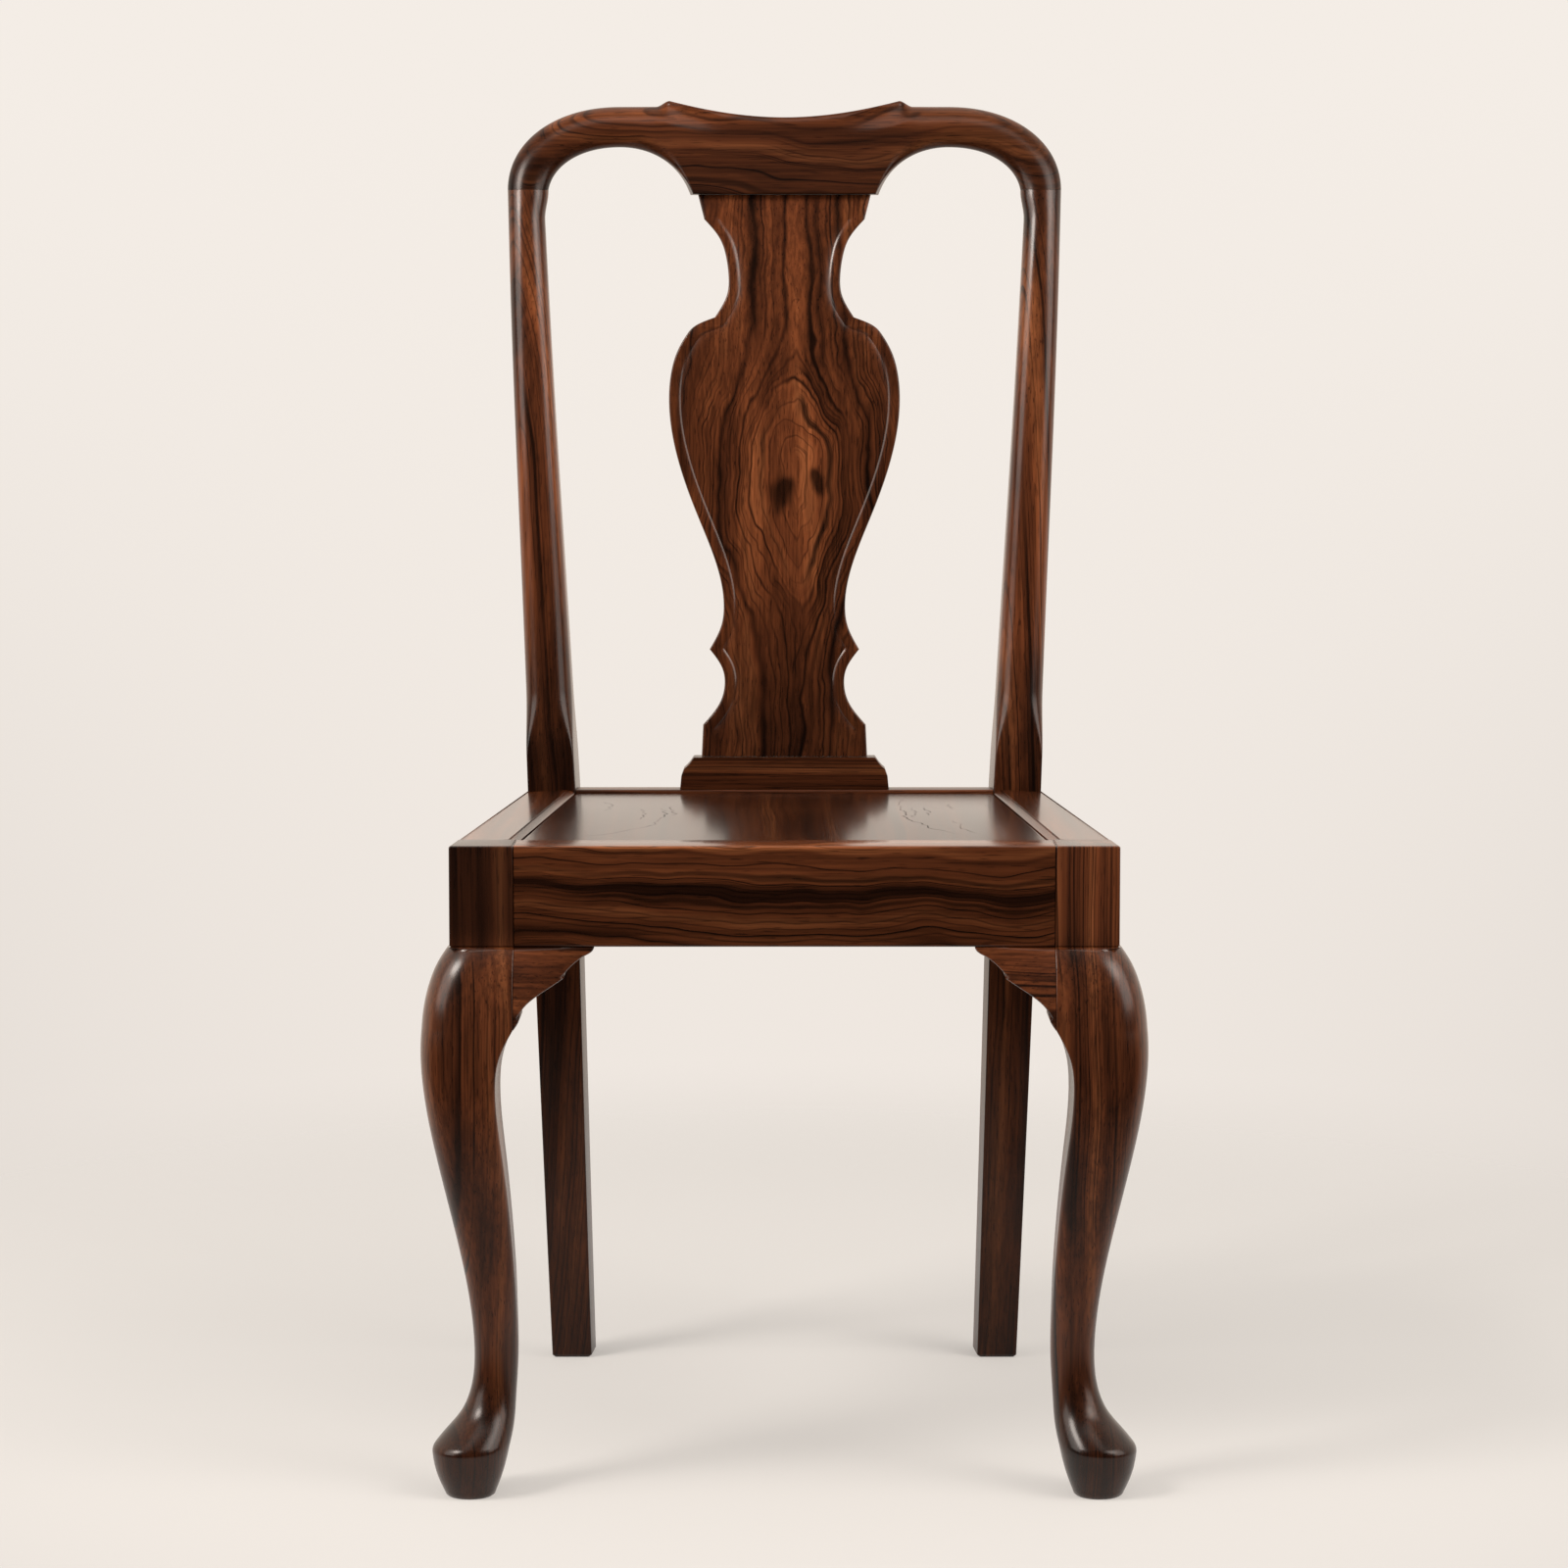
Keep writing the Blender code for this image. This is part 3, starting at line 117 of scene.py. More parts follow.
# Rear posts: leg below the seat, stile above it
POST_FOOT_SPREAD = 0.3776
POST_TOP_SPREAD = 0.4444
POST_SEAT_WIDTH = 0.038
POST_SEAT_DEPTH = 0.034
POST_FOOT_WIDTH = 0.0318
POST_FOOT_DEPTH = 0.032
POST_TOP_WIDTH = 0.029
POST_TOP_DEPTH = 0.026
POST_TOP_FLARE = 0.0038
POST_FLARE_HEIGHT = 0.024
POST_FOOT_CHAMFER = 0.002
LAMB_TONGUE_START = 0.026
LAMB_TONGUE_END = 0.078
STILE_FRONT_ROUND = 0.86
STILE_REAR_ROUND = 0.55
STILE_BLEND_HEIGHT = 0.096
REAR_RAKE = 0.0317
REAR_RAKE_BEND = 1.6
BACK_LEAN = 0.06
BACK_LEAN_BEND = 1.7
BACK_SPOON = 0.006

# Crest rail, with heights measured down from the top of the yoke's peaks
CREST_JOINT_DROP = 0.0716
CREST_BOTTOM_DROP = 0.0755
CREST_ARM_DROP = 0.0045
CREST_DIP = 0.0135
CREST_DIP_BEND = 1.9
YOKE_PEAK_SPREAD = 0.185
YOKE_STEP_LENGTH = 0.011
ARM_CROWN_SPREAD = 0.264
ARM_FULLNESS = 2.12
ARCH_TOP_DROP = 0.0373
ARCH_SPRING = 0.006
ARCH_INNER_RADIUS = 0.0625
ARCH_INNER_RISE = 0.057
ARCH_DRAFT = 0.0028
CREST_ARM_DEPTH = 0.025
CREST_YOKE_DEPTH = 0.022
YOKE_FLAT_START = 0.25
YOKE_TOP_ROUND = 0.2
YOKE_BOTTOM_ROUND = 0.06
YOKE_REAR_ROUND = 0.3
SCOOP_DEPTH = 0.0032
SCOOP_PLACE = 0.09
SCOOP_DROP = 0.0065
SCOOP_IN = 0.05
SCOOP_OUT = 0.024
SCOOP_ABOVE = 0.0075
SCOOP_BELOW = 0.015
SCOOP_TILT = -0.28

# Splat and shoe
SPLAT_THICKNESS = 0.012
SPLAT_SETBACK = 0.006
SPLAT_EDGE_EASE = (0.0012, 0.003)
SPLAT_RIM = 0.0077
SPLAT_GROOVE_WALL = 0.0018
SPLAT_GROOVE_DEPTH = 0.0013
SPLAT_ROLL = 0.011
SPLAT_ROLL_BEND = 2.6
SPLAT_BACK_BEVEL = 0.0025
SPLAT_PLAIN_END = 0.012
SPLAT_WIDTH = 0.1842
SPLAT_TOP_WIDTH = 0.1386
SPLAT_BOTTOM_WIDTH = 0.1322
# Splat outline in smooth stretches that meet at cusps: (share of its height, share of its width)
SPLAT_BASE = (0.056, 0.705)
SPLAT_SCALLOP = [SPLAT_BASE, (0.091, 0.571), (0.125, 0.52), (0.159, 0.546), (0.19, 0.649)]
SPLAT_SHOULDER = (0.682, 0.982)
SPLAT_VASE = [(0.19, 0.649), (0.23, 0.552), (0.264, 0.527), (0.334, 0.58), (0.438, 0.773),
              (0.543, 0.942), (0.63, 1), SPLAT_SHOULDER, (0.718, 0.933), (0.752, 0.84),
              (0.77, 0.738), (0.781, 0.603)]
SPLAT_NECK = [(0.781, 0.603), (0.821, 0.499), (0.856, 0.486), (0.891, 0.51), (0.926, 0.576),
              (0.956, 0.698)]
SHOE_HEIGHT = 0.0255
SHOE_LENGTH = 0.1664
SHOE_DEPTH = 0.0225
SHOE_SETBACK = 0.0015
# Shoe's moulded ends: (height below its top, shortening at each end)
SHOE_MOULDING = [(0.015, 0.001), (0.0092, 0.0031), (0.0072, 0.0054), (0.0045, 0.0078),
                 (0.0006, 0.0104)]
SHOE_EASE = 0.0008

# Fineness of the surfaces
CORNER_STEPS = 10
EASE_STEPS = 5
FACE_STEPS = 44
LEG_ROW = 0.003
KNEE_ROW = LEG_ROW / 2
BRACKET_ROW = LEG_ROW / 3
FOOT_RIM_ROW = LEG_ROW / 6
FOOT_RIM_SAMPLES = 5
POST_ROW = 0.006
STILE_ROW = POST_ROW / 2
TONGUE_ROW = 0.0015
RAIL_STEPS = 8
ARM_STEPS = 44
NECK_STEPS = 60
YOKE_STEPS = 56
SPLAT_ROW = 0.0012
SPLAT_EDGE_ROW = SPLAT_ROW / 6
# The splat's rows lie closer where its outline runs nearly level: (share of its height, share of a row)
SPLAT_ROWS = [(0, 1), (SPLAT_BASE[0], 1), (SPLAT_VASE[0][0], 1), (SPLAT_SHOULDER[0], 0.25),
              (SPLAT_VASE[-1][0], 0.5), (SPLAT_NECK[-1][0], 1)]
FIELD_STEPS = 8
BRACKET_STEPS = 14
FULL_ROUND = 0.97
SHARP_ANGLE = math.radians(38)

# Worked out from the sizes above
front_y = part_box("front_rail")[0].y
half_front = SEAT_FRONT_WIDTH / 2
half_back = SEAT_BACK_WIDTH / 2
side_slope = (half_front - half_back) / SEAT_DEPTH
rail_bottom = SEAT_HEIGHT - RAIL_HEIGHT
bracket_foot = rail_bottom - BRACKET_FOOT
post_inner_front = half_front - FRONT_POST
post_inner_rear = half_back - POST_SEAT_WIDTH
opening_slope = (post_inner_front - post_inner_rear) / (SEAT_DEPTH - FRONT_POST)
panel_top = SEAT_HEIGHT - PANEL_DROP
panel_bottom = panel_top - PANEL_THICKNESS
crest_joint = BACK_HEIGHT - CREST_JOINT_DROP
crest_bottom = BACK_HEIGHT - CREST_BOTTOM_DROP
arm_crown = ARM_CROWN_SPREAD / 2
arch_top = BACK_HEIGHT - ARCH_TOP_DROP
stile_height = crest_joint - SEAT_HEIGHT
tongue_start = SEAT_HEIGHT + LAMB_TONGUE_START
tongue_end = SEAT_HEIGHT + LAMB_TONGUE_END
shoe_top = SEAT_HEIGHT + GAP + SHOE_HEIGHT
splat_low = shoe_top + GAP
splat_high = crest_bottom - GAP
splat_height = splat_high - splat_low


def smooth_step(low, high, at):
    """Ease from 0 to 1 as at goes from low to high."""
    share = min(max((at - low) / (high - low), 0), 1)
    return share * share * (3 - 2 * share)


def mix(start, end, share):
    return start + (end - start) * share


def spaced(start, end, step):
    """Values from start to end, both included, at most step apart."""
    count = max(math.ceil(abs(end - start) / step), 1)
    return [mix(start, end, i / count) for i in range(count + 1)]


def smooth_curve(points):
    """Natural cubic curve through (position, value) points, as a function of the position."""
    positions, values = numpy.array(sorted(points)).T
    steps = numpy.diff(positions)
    slopes = numpy.diff(values) / steps
    count = len(positions)
    matrix = numpy.eye(count)
    change = numpy.zeros(count)
    for i in range(1, count - 1):
        matrix[i, i - 1:i + 2] = steps[i - 1], 2 * (steps[i - 1] + steps[i]), steps[i]
        change[i] = 6 * (slopes[i] - slopes[i - 1])
    bends = numpy.linalg.solve(matrix, change)

    def value(at):
        i = min(max(int(numpy.searchsorted(positions, at)) - 1, 0), count - 2)
        step = steps[i]
        before = at - positions[i]
        after = positions[i + 1] - at
        cubic = (bends[i] * after ** 3 + bends[i + 1] * before ** 3) / (6 * step)
        start = (values[i] / step - bends[i] * step / 6) * after
        end = (values[i + 1] / step - bends[i + 1] * step / 6) * before
        return float(cubic + start + end)

    return value


def vectors(*places):
    return [Vector(place) for place in places]


def round_corner(corner, start, end, steps):
    """Quarter of an ellipse from corner + start to corner + end."""
    angles = [math.pi / 2 * step / steps for step in range(steps + 1)]
    return [corner + start * (1 - math.sin(angle)) + end * (1 - math.cos(angle)) for angle in angles]


def ring_through(corners, steps, reach):
    """Ring that turns at each corner between the points that reach gives on the edges beside it."""
    ring = []
    for i, corner in enumerate(corners):
        before = reach(i, corners[i - 1] - corner)
        after = reach(i, corners[(i + 1) % len(corners)] - corner)
        ring += round_corner(corner, before, after, steps)
    return ring


def rounded_ring(corners, shares):
    """Ring through corners, each rounded over its share of the half edges beside it."""
    return ring_through(corners, CORNER_STEPS, lambda i, edge: edge * min(shares[i], FULL_ROUND) / 2)


def eased_ring(corners, radius):
    """Ring through corners, each eased with a small radius."""
    return ring_through(corners, EASE_STEPS, lambda i, edge: edge.normalized() * radius)


def level_ring(z, front, front_half, rear, rear_half, radius):
    """Level ring of four eased corners, alike on both sides."""
    corners = vectors((-front_half, front, z), (front_half, front, z),
                      (rear_half, rear, z), (-rear_half, rear, z))
    return eased_ring(corners, radius)


def eased_edge(radius):
    """Steps of an edge that is eased toward a top face: (inward, below the top)."""
    angles = [math.pi / 2 * step / EASE_STEPS for step in range(1, EASE_STEPS + 1)]
    return [(radius * (1 - math.cos(angle)), radius * (1 - math.sin(angle))) for angle in angles]


def mirrored(rings, side):
    return [[Vector((side * point.x, point.y, point.z)) for point in ring] for ring in rings]


def add_object(name, data):
    item = bpy.data.objects.new(name, data)
    scene.collection.objects.link(item)
    return item


def form_object(name, form):
    """Object with the mesh that was built up in a form."""
    mesh = bpy.data.meshes.new(name)
    form.to_mesh(mesh)
    form.free()
    return add_object(name, mesh)


def add_piece(node, form, material):
    """Fine piece that stands for a node of the frame, with its faces turned outward."""
    bmesh.ops.recalc_face_normals(form, faces=form.faces)
    bmesh.ops.translate(form, verts=form.verts, vec=(0, front_y, 0))
    piece = form_object(node + "_fine", form)
    piece.data.shade_smooth()
    piece.data.set_sharp_from_angle(angle=SHARP_ANGLE)
    piece.data.materials.append(material)
    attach(piece, "root")
    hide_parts(node)


def add_strips(form, rows):
    """Faces between neighbouring rows of points."""
    for low, high in zip(rows, rows[1:]):
        for i in range(len(low) - 1):
            form.faces.new((low[i], low[i + 1], high[i + 1], high[i]))


def loft(node, rings, material):
    """Closed piece through rings with the same number of points."""
    form = bmesh.new()
    loops = [[form.verts.new(point) for point in ring] for ring in rings]
    add_strips(form, [loop + loop[:1] for loop in loops])
    form.faces.new(loops[0][::-1])
    form.faces.new(loops[-1])
    add_piece(node, form, material)


# Plan of the seat and side view of the back

def outer_x(y):
    """Outer face of the side rail."""
    return half_front - side_slope * y


def opening_x(y):
    """Inner face of the side rail."""
    return post_inner_front - opening_slope * (y - FRONT_POST)


def back_y(z):
    """Front face of rear post and back: raked below the seat, leaning and slightly bent above it."""
    if z < rail_bottom:
        return SEAT_DEPTH + REAR_RAKE * ((rail_bottom - z) / rail_bottom) ** REAR_RAKE_BEND
    share = max(z - SEAT_HEIGHT, 0) / stile_height
    spoon = math.sin(2 * math.pi * share) if share < 1 else 2 * math.pi * (share - 1)
    return SEAT_DEPTH + (BACK_LEAN * share ** BACK_LEAN_BEND + BACK_SPOON * spoon)


def along_post(z, foot, seat, top):
    """Size at a height of the rear post, between its sizes at the foot, the seat and the top."""
    if z < SEAT_HEIGHT:
        return mix(foot, seat, z / SEAT_HEIGHT)
    return mix(seat, top, (z - SEAT_HEIGHT) / stile_height)


def post_outer(z):
    """Outer edge of the rear post's front face."""
    return along_post(z, POST_FOOT_SPREAD / 2, half_back, POST_TOP_SPREAD / 2)


def post_width(z):
    flare = POST_TOP_FLARE * smooth_step(crest_joint - POST_FLARE_HEIGHT, crest_joint, z)
    return along_post(z, POST_FOOT_WIDTH, POST_SEAT_WIDTH, POST_TOP_WIDTH) + flare


def post_skew(z):
    """The post's sides run with the side rails at the seat and turn square at the crest."""
    return side_slope * (1 - smooth_step(SEAT_HEIGHT, crest_joint, z))


def post_inner(y, z):
    return post_outer(z) - post_width(z) - post_skew(z) * (y - back_y(z))


# Front legs

def leg_outlines():
    """Curves for the leg's outer and inner projection, by height, above the foot's rim."""
    outer = [(rail_bottom - drop, out) for drop, out in KNEE_LINE] + SHANK_LINE
    outer.append((FOOT_RIM_HEIGHT, FOOT_RIM_OUT))
    inner = [(bracket_foot - drop, out) for drop, out in KNEE_BACK_LINE] + SHANK_BACK_LINE
    inner.append((bracket_foot, -FRONT_POST))
    inner.append((FOOT_RIM_HEIGHT, FOOT_RIM_IN))
    return smooth_curve(outer), smooth_curve(inner)


def foot_limits(z):
    """Outer and inner projection of the foot's flank, from the sole to the rim."""
    share = z / FOOT_RIM_HEIGHT
    swell = FOOT_FLANK_SWELL * math.sin(math.pi * share)
    return mix(SOLE_OUT, FOOT_RIM_OUT, share) + swell, mix(SOLE_IN, FOOT_RIM_IN, share) - swell / 2


def leg_ring(z, out, inner, rounding):
    """Section of the right leg: square to the front rail inside, along the side rail outside."""
    skew = side_slope * smooth_step(SHANK_SQUARE_SHARE * bracket_foot, bracket_foot, z)

    def corner(across, forward):
        shift = skew * forward * (1 + across / FRONT_POST)
        return Vector((half_front + across + shift, -forward, z))

    knee, sides, heel = rounding
    corners = [corner(out, out), corner(inner, out), corner(inner, inner), corner(out, inner)]
    return rounded_ring(corners, (knee, sides, heel, sides))


def leg_rounding(z):
    """Shares of the half width that the knee edge, the two side edges and the heel edge take."""
    shank = smooth_step(bracket_foot, SHANK_SQUARE_SHARE * bracket_foot, z)
    ankle = smooth_step(SHANK_SQUARE_SHARE * bracket_foot, SHANK_ROUND_SHARE * bracket_foot, z)
    knee = mix(KNEE_EDGE_ROUND, FULL_ROUND, ankle)
    sides = mix(mix(SIDE_EDGE_ROUND, SHANK_EDGE_ROUND, shank), FULL_ROUND, ankle)
    heel = mix(mix(HEEL_EDGE_ROUND, SHANK_EDGE_ROUND, shank), FULL_ROUND, ankle)
    return knee, sides, heel


def leg_rings():
    """Rings of the right leg, from its sole to the top of its post."""
    out_at, in_at = leg_outlines()

    def limits(z):
        """Outer and inner projection at a height, softened where the foot's rim turns."""
        samples = []
        for offset in numpy.linspace(-FOOT_RIM_EASE, FOOT_RIM_EASE, FOOT_RIM_SAMPLES):
            at = min(max(z + float(offset), 0), bracket_foot)
            samples.append(foot_limits(at) if at < FOOT_RIM_HEIGHT else (out_at(at), in_at(at)))
        return [sum(values) / FOOT_RIM_SAMPLES for values in zip(*samples)]

    sole_out, sole_in = limits(0)
    rings = [leg_ring(0, sole_out - SOLE_EASE, sole_in + SOLE_EASE, (FULL_ROUND,) * 3)]
    heights = spaced(SOLE_EASE, FOOT_RIM_HEIGHT - 2 * FOOT_RIM_EASE, LEG_ROW)
    heights += spaced(heights[-1], FOOT_RIM_HEIGHT + 2 * FOOT_RIM_EASE, FOOT_RIM_ROW)[1:]
    heights += spaced(heights[-1], bracket_foot, LEG_ROW)[1:-1]
    for z in heights:
        out, inner = limits(z)
        rings.append(leg_ring(z, out, inner, leg_rounding(z)))
    for drop in spaced(BRACKET_FOOT, KNEE_LINE[0][0], KNEE_ROW):
        z = rail_bottom - drop
        rings.append(leg_ring(z, out_at(z), -FRONT_POST, leg_rounding(z)))
    eased = 2 * POST_EASE / FRONT_POST
    for up, inset in ((-POST_QUIRK / 2, 0), (0, POST_QUIRK), (POST_QUIRK, 0)):
        rings.append(leg_ring(rail_bottom + up, -inset, -FRONT_POST, (eased,) * 3))
    rings.append(leg_ring(SEAT_HEIGHT - POST_EASE, 0, -FRONT_POST, (eased,) * 3))
    for inset, drop in eased_edge(POST_EASE):
        rings.append(leg_ring(SEAT_HEIGHT - drop, -inset, -FRONT_POST + inset, (eased,) * 3))
    return rings


def bracket_outline():
    """The bracket's edge from its tip to just before its foot, smooth between its corners."""
    stretches = ([(BRACKET_LENGTH, GAP)] + BRACKET_NOSE, BRACKET_NOSE[-1:] + BRACKET_STEP,
                 BRACKET_STEP[-1:] + BRACKET_HOLLOW[:1], BRACKET_HOLLOW,
                 BRACKET_HOLLOW[-1:] + BRACKET_SCROLL + [(GAP, BRACKET_FOOT)])
    outline = [(BRACKET_LENGTH, GAP)]
    for stretch in stretches:
        lengths = [0]
        for (along, drop), (next_along, next_drop) in zip(stretch, stretch[1:]):
            lengths.append(lengths[-1] + math.hypot(next_along - along, next_drop - drop))
        along_at, drop_at = [smooth_curve(zip(lengths, values)) for values in zip(*stretch)]
        stations = spaced(0, lengths[-1], BRACKET_ROW)[1:]
        outline += [(along_at(station), drop_at(station)) for station in stations]
    return outline[:-1]


def make_bracket(node, side, under_side_rail, material):
    """Knee bracket: flat on the rail and the leg, its face swelling to meet the knee."""
    out_at, _ = leg_outlines()
    outline = bracket_outline()
    knee_start = KNEE_LINE[0][0]

    def place(along, drop, back):
        """Point at a distance along the rail, below it and behind its face."""
        z = rail_bottom - drop
        if under_side_rail:
            y = FRONT_POST + along
            return Vector((side * (outer_x(y) - back), y, z))
        return Vector((side * (post_inner_front - along), back, z))

    def face(along, drop, eased=0):
        fade = max(1 - along / BRACKET_LENGTH, 0) ** BRACKET_FADE
        swell = out_at(rail_bottom - max(drop, knee_start)) * min(drop / knee_start, 1)
        return place(along, drop, BRACKET_SETBACK + eased - swell * fade)

    form = bmesh.new()
    rows = []
    for along, drop in outline:
        shares = [i / (BRACKET_STEPS - 1) for i in range(BRACKET_STEPS)]
        inner = max(along - BRACKET_EASE, (GAP + along) / 2)
        points = [face(mix(GAP, inner, share), drop) for share in shares]
        points += [face(along, drop, BRACKET_EASE), place(along, drop, BRACKET_THICKNESS)]
        rows.append([form.verts.new(point) for point in points])
    foot = form.verts.new(face(GAP, BRACKET_FOOT))
    back_foot = form.verts.new(place(GAP, BRACKET_FOOT, BRACKET_THICKNESS))
    back_corner = form.verts.new(place(GAP, GAP, BRACKET_THICKNESS))
    add_strips(form, rows)
    last = rows[-1]
    for i in range(BRACKET_STEPS):
        form.faces.new((last[i], last[i + 1], foot))
    form.faces.new(last[-2:] + [back_foot, foot])
    form.faces.new([row[-1] for row in rows] + [back_foot, back_corner])
    form.faces.new(rows[0] + [back_corner])
    form.faces.new([row[0] for row in rows] + [foot, back_foot, back_corner])
    add_piece(node, form, material)


# Seat frame and panel

def rail_stations(start, end):
    return spaced(start, end, (end - start) / RAIL_STEPS)


def cross_rail_rings(front, thickness, half_at):
    """Rail between the left and the right post, whose inner faces half_at gives by (y, z)."""
    rear = front + thickness
    places = ((front, rail_bottom), (rear, rail_bottom), (rear, SEAT_HEIGHT), (front, SEAT_HEIGHT))
    rings = []
    for share in rail_stations(-1, 1):
        corners = [Vector((share * (half_at(y, z) - GAP), y, z)) for y, z in places]
        rings.append(eased_ring(corners, RAIL_EASE))
    return rings


def side_rail_ring(y):
    """Section of the side rail: a quirk beside the bevel that runs down to the panel."""
    share = (y - FRONT_POST) / (SEAT_DEPTH - FRONT_POST)
    tuck = share * (half_back - post_outer(rail_bottom))
    outer = outer_x(y)
    inner = opening_x(y)
    bevel = inner + RAIL_BEVEL_WIDTH
    corners = vectors((outer - tuck, y, rail_bottom), (outer, y, SEAT_HEIGHT), (inner, y, rail_bottom))
    outside = eased_ring(corners, RAIL_EASE)[:2 * (EASE_STEPS + 1)]
    return outside + vectors((bevel + RAIL_QUIRK, y, SEAT_HEIGHT),
                             (bevel, y, SEAT_HEIGHT - RAIL_QUIRK_DEPTH),
                             (bevel - RAIL_QUIRK, y, SEAT_HEIGHT - RAIL_QUIRK_LIP),
                             (inner, y, panel_top),
                             (inner, y, panel_top - RAIL_QUIRK),
                             (inner, y, rail_bottom))


def side_rail_rings():
    return [side_rail_ring(y) for y in rail_stations(FRONT_POST + GAP, SEAT_DEPTH - GAP)]


def panel_ring(spread, z):
    """Outline of the frame's opening, moved outward by spread."""
    front = FRONT_RAIL_THICKNESS - spread
    rear = SEAT_DEPTH + spread
    shift = spread * math.sqrt(1 + opening_slope ** 2)
    return level_ring(z, front, opening_x(front) + shift, rear, opening_x(rear) + shift, PANEL_EASE)


def panel_rings():
    rings = [panel_ring(-PANEL_REVEAL, panel_bottom), panel_ring(-PANEL_REVEAL, panel_top - PANEL_EASE)]
    for inset, drop in eased_edge(PANEL_EASE):
        rings.append(panel_ring(-PANEL_REVEAL - inset, panel_top - drop))
    return rings


# Rear posts

def post_ring(z, inset=0):
    """Section of the right rear post: square at the leg, rounded above the lamb's tongue."""
    width = post_width(z) - 2 * inset
    depth = along_post(z, POST_FOOT_DEPTH, POST_SEAT_DEPTH, POST_TOP_DEPTH) - 2 * inset
    front = back_y(z) + inset
    outer = post_outer(z) - inset
    shift = post_skew(z) * depth
    rear = front + depth
    corners = vectors((outer, front, z), (outer - width, front, z),
                      (outer - width - shift, rear, z), (outer - shift, rear, z))
    eased = 2 * POST_EASE / width
    tongue = smooth_step(tongue_start, tongue_end, z)
    joint = smooth_step(crest_joint - STILE_BLEND_HEIGHT, crest_joint, z)
    front_round = mix(mix(eased, STILE_FRONT_ROUND, tongue), FULL_ROUND, joint)
    rear_round = mix(mix(eased, STILE_REAR_ROUND, tongue), FULL_ROUND, joint)
    return rounded_ring(corners, (front_round, front_round, rear_round, rear_round))


def post_rings():
    heights = spaced(POST_FOOT_CHAMFER, rail_bottom, POST_ROW)
    heights += spaced(rail_bottom, tongue_start, POST_ROW)[1:]
    heights += spaced(tongue_start, tongue_end, TONGUE_ROW)[1:]
    heights += spaced(tongue_end, crest_joint - GAP, STILE_ROW)[1:]
    return [post_ring(0, POST_FOOT_CHAMFER)] + [post_ring(z) for z in heights]


# Crest rail

def crest_top(x):
    """Upper edge from the centre's dip over the yoke's peak and its step to the round arm."""
    peak = YOKE_PEAK_SPREAD / 2
    if x < peak:
        return BACK_HEIGHT - CREST_DIP * (1 - (x / peak) ** CREST_DIP_BEND)
    return BACK_HEIGHT - CREST_ARM_DROP * smooth_step(peak, peak + YOKE_STEP_LENGTH, x)


def scoop(x, z):
    """Depth of the thumb-shaped hollow under the yoke's peak, long toward the centre."""
    outward = abs(x) - SCOOP_PLACE
    along = outward / (SCOOP_OUT if outward > 0 else SCOOP_IN)
    below = BACK_HEIGHT - SCOOP_DROP - z - SCOOP_TILT * outward
    down = below / (SCOOP_BELOW if below > 0 else SCOOP_ABOVE)
    reach = along ** 2 + down ** 2
    return SCOOP_DEPTH * max(1 - reach, 0) ** 2


def crest_ring(top, bottom, depth, rounding, draft=(0, 0)):
    """Section between a point on the upper edge and one on the lower edge, given as (x, z)."""
    upper, lower, rear = rounding
    top_y = back_y(top[1])
    bottom_y = back_y(bottom[1])
    corners = vectors((top[0], top_y, top[1]), (bottom[0], bottom_y, bottom[1]),
                      (bottom[0] + draft[0], bottom_y + depth, bottom[1] + draft[1]),
                      (top[0], top_y + depth, top[1]))
    ring = rounded_ring(corners, (upper, lower, lower, rear))
    arc = CORNER_STEPS + 1
    face = [ring[arc - 1].lerp(ring[arc], i / FACE_STEPS) for i in range(1, FACE_STEPS)]
    front = ring[:arc] + face + ring[arc:2 * arc]
    carved = [point + Vector((0, scoop(point.x, point.z), 0)) for point in front]
    return carved + ring[2 * arc:]


def arm_rings():
    """Rings from the right stile to the arm's crown."""
    arm_top = BACK_HEIGHT - CREST_ARM_DROP
    joint_outer = post_outer(crest_joint)
    joint_inner = joint_outer - post_width(crest_joint)
    spring = crest_joint - ARCH_SPRING
    fullness = 2 / ARM_FULLNESS
    spring_angle = math.asin((ARCH_SPRING / (arch_top - spring)) ** (1 / fullness))
    arch_reach = (joint_inner - arm_crown) / math.cos(spring_angle) ** fullness
    rings = []
    for i in range(ARM_STEPS + 1):
        angle = math.pi / 2 * i / ARM_STEPS
        across = max(math.cos(angle), 0) ** fullness
        up = math.sin(angle) ** fullness
        top = (mix(arm_crown, joint_outer, across), mix(crest_joint, arm_top, up))
        under = mix(spring_angle, math.pi / 2, i / ARM_STEPS)
        reach = arch_reach * max(math.cos(under), 0) ** fullness
        rise = (arch_top - spring) * math.sin(under) ** fullness
        bottom = (arm_crown + reach, spring + rise)
        depth = mix(POST_TOP_DEPTH, CREST_ARM_DEPTH, i / ARM_STEPS)
        rings.append(crest_ring(top, bottom, depth, (FULL_ROUND,) * 3))
    return rings


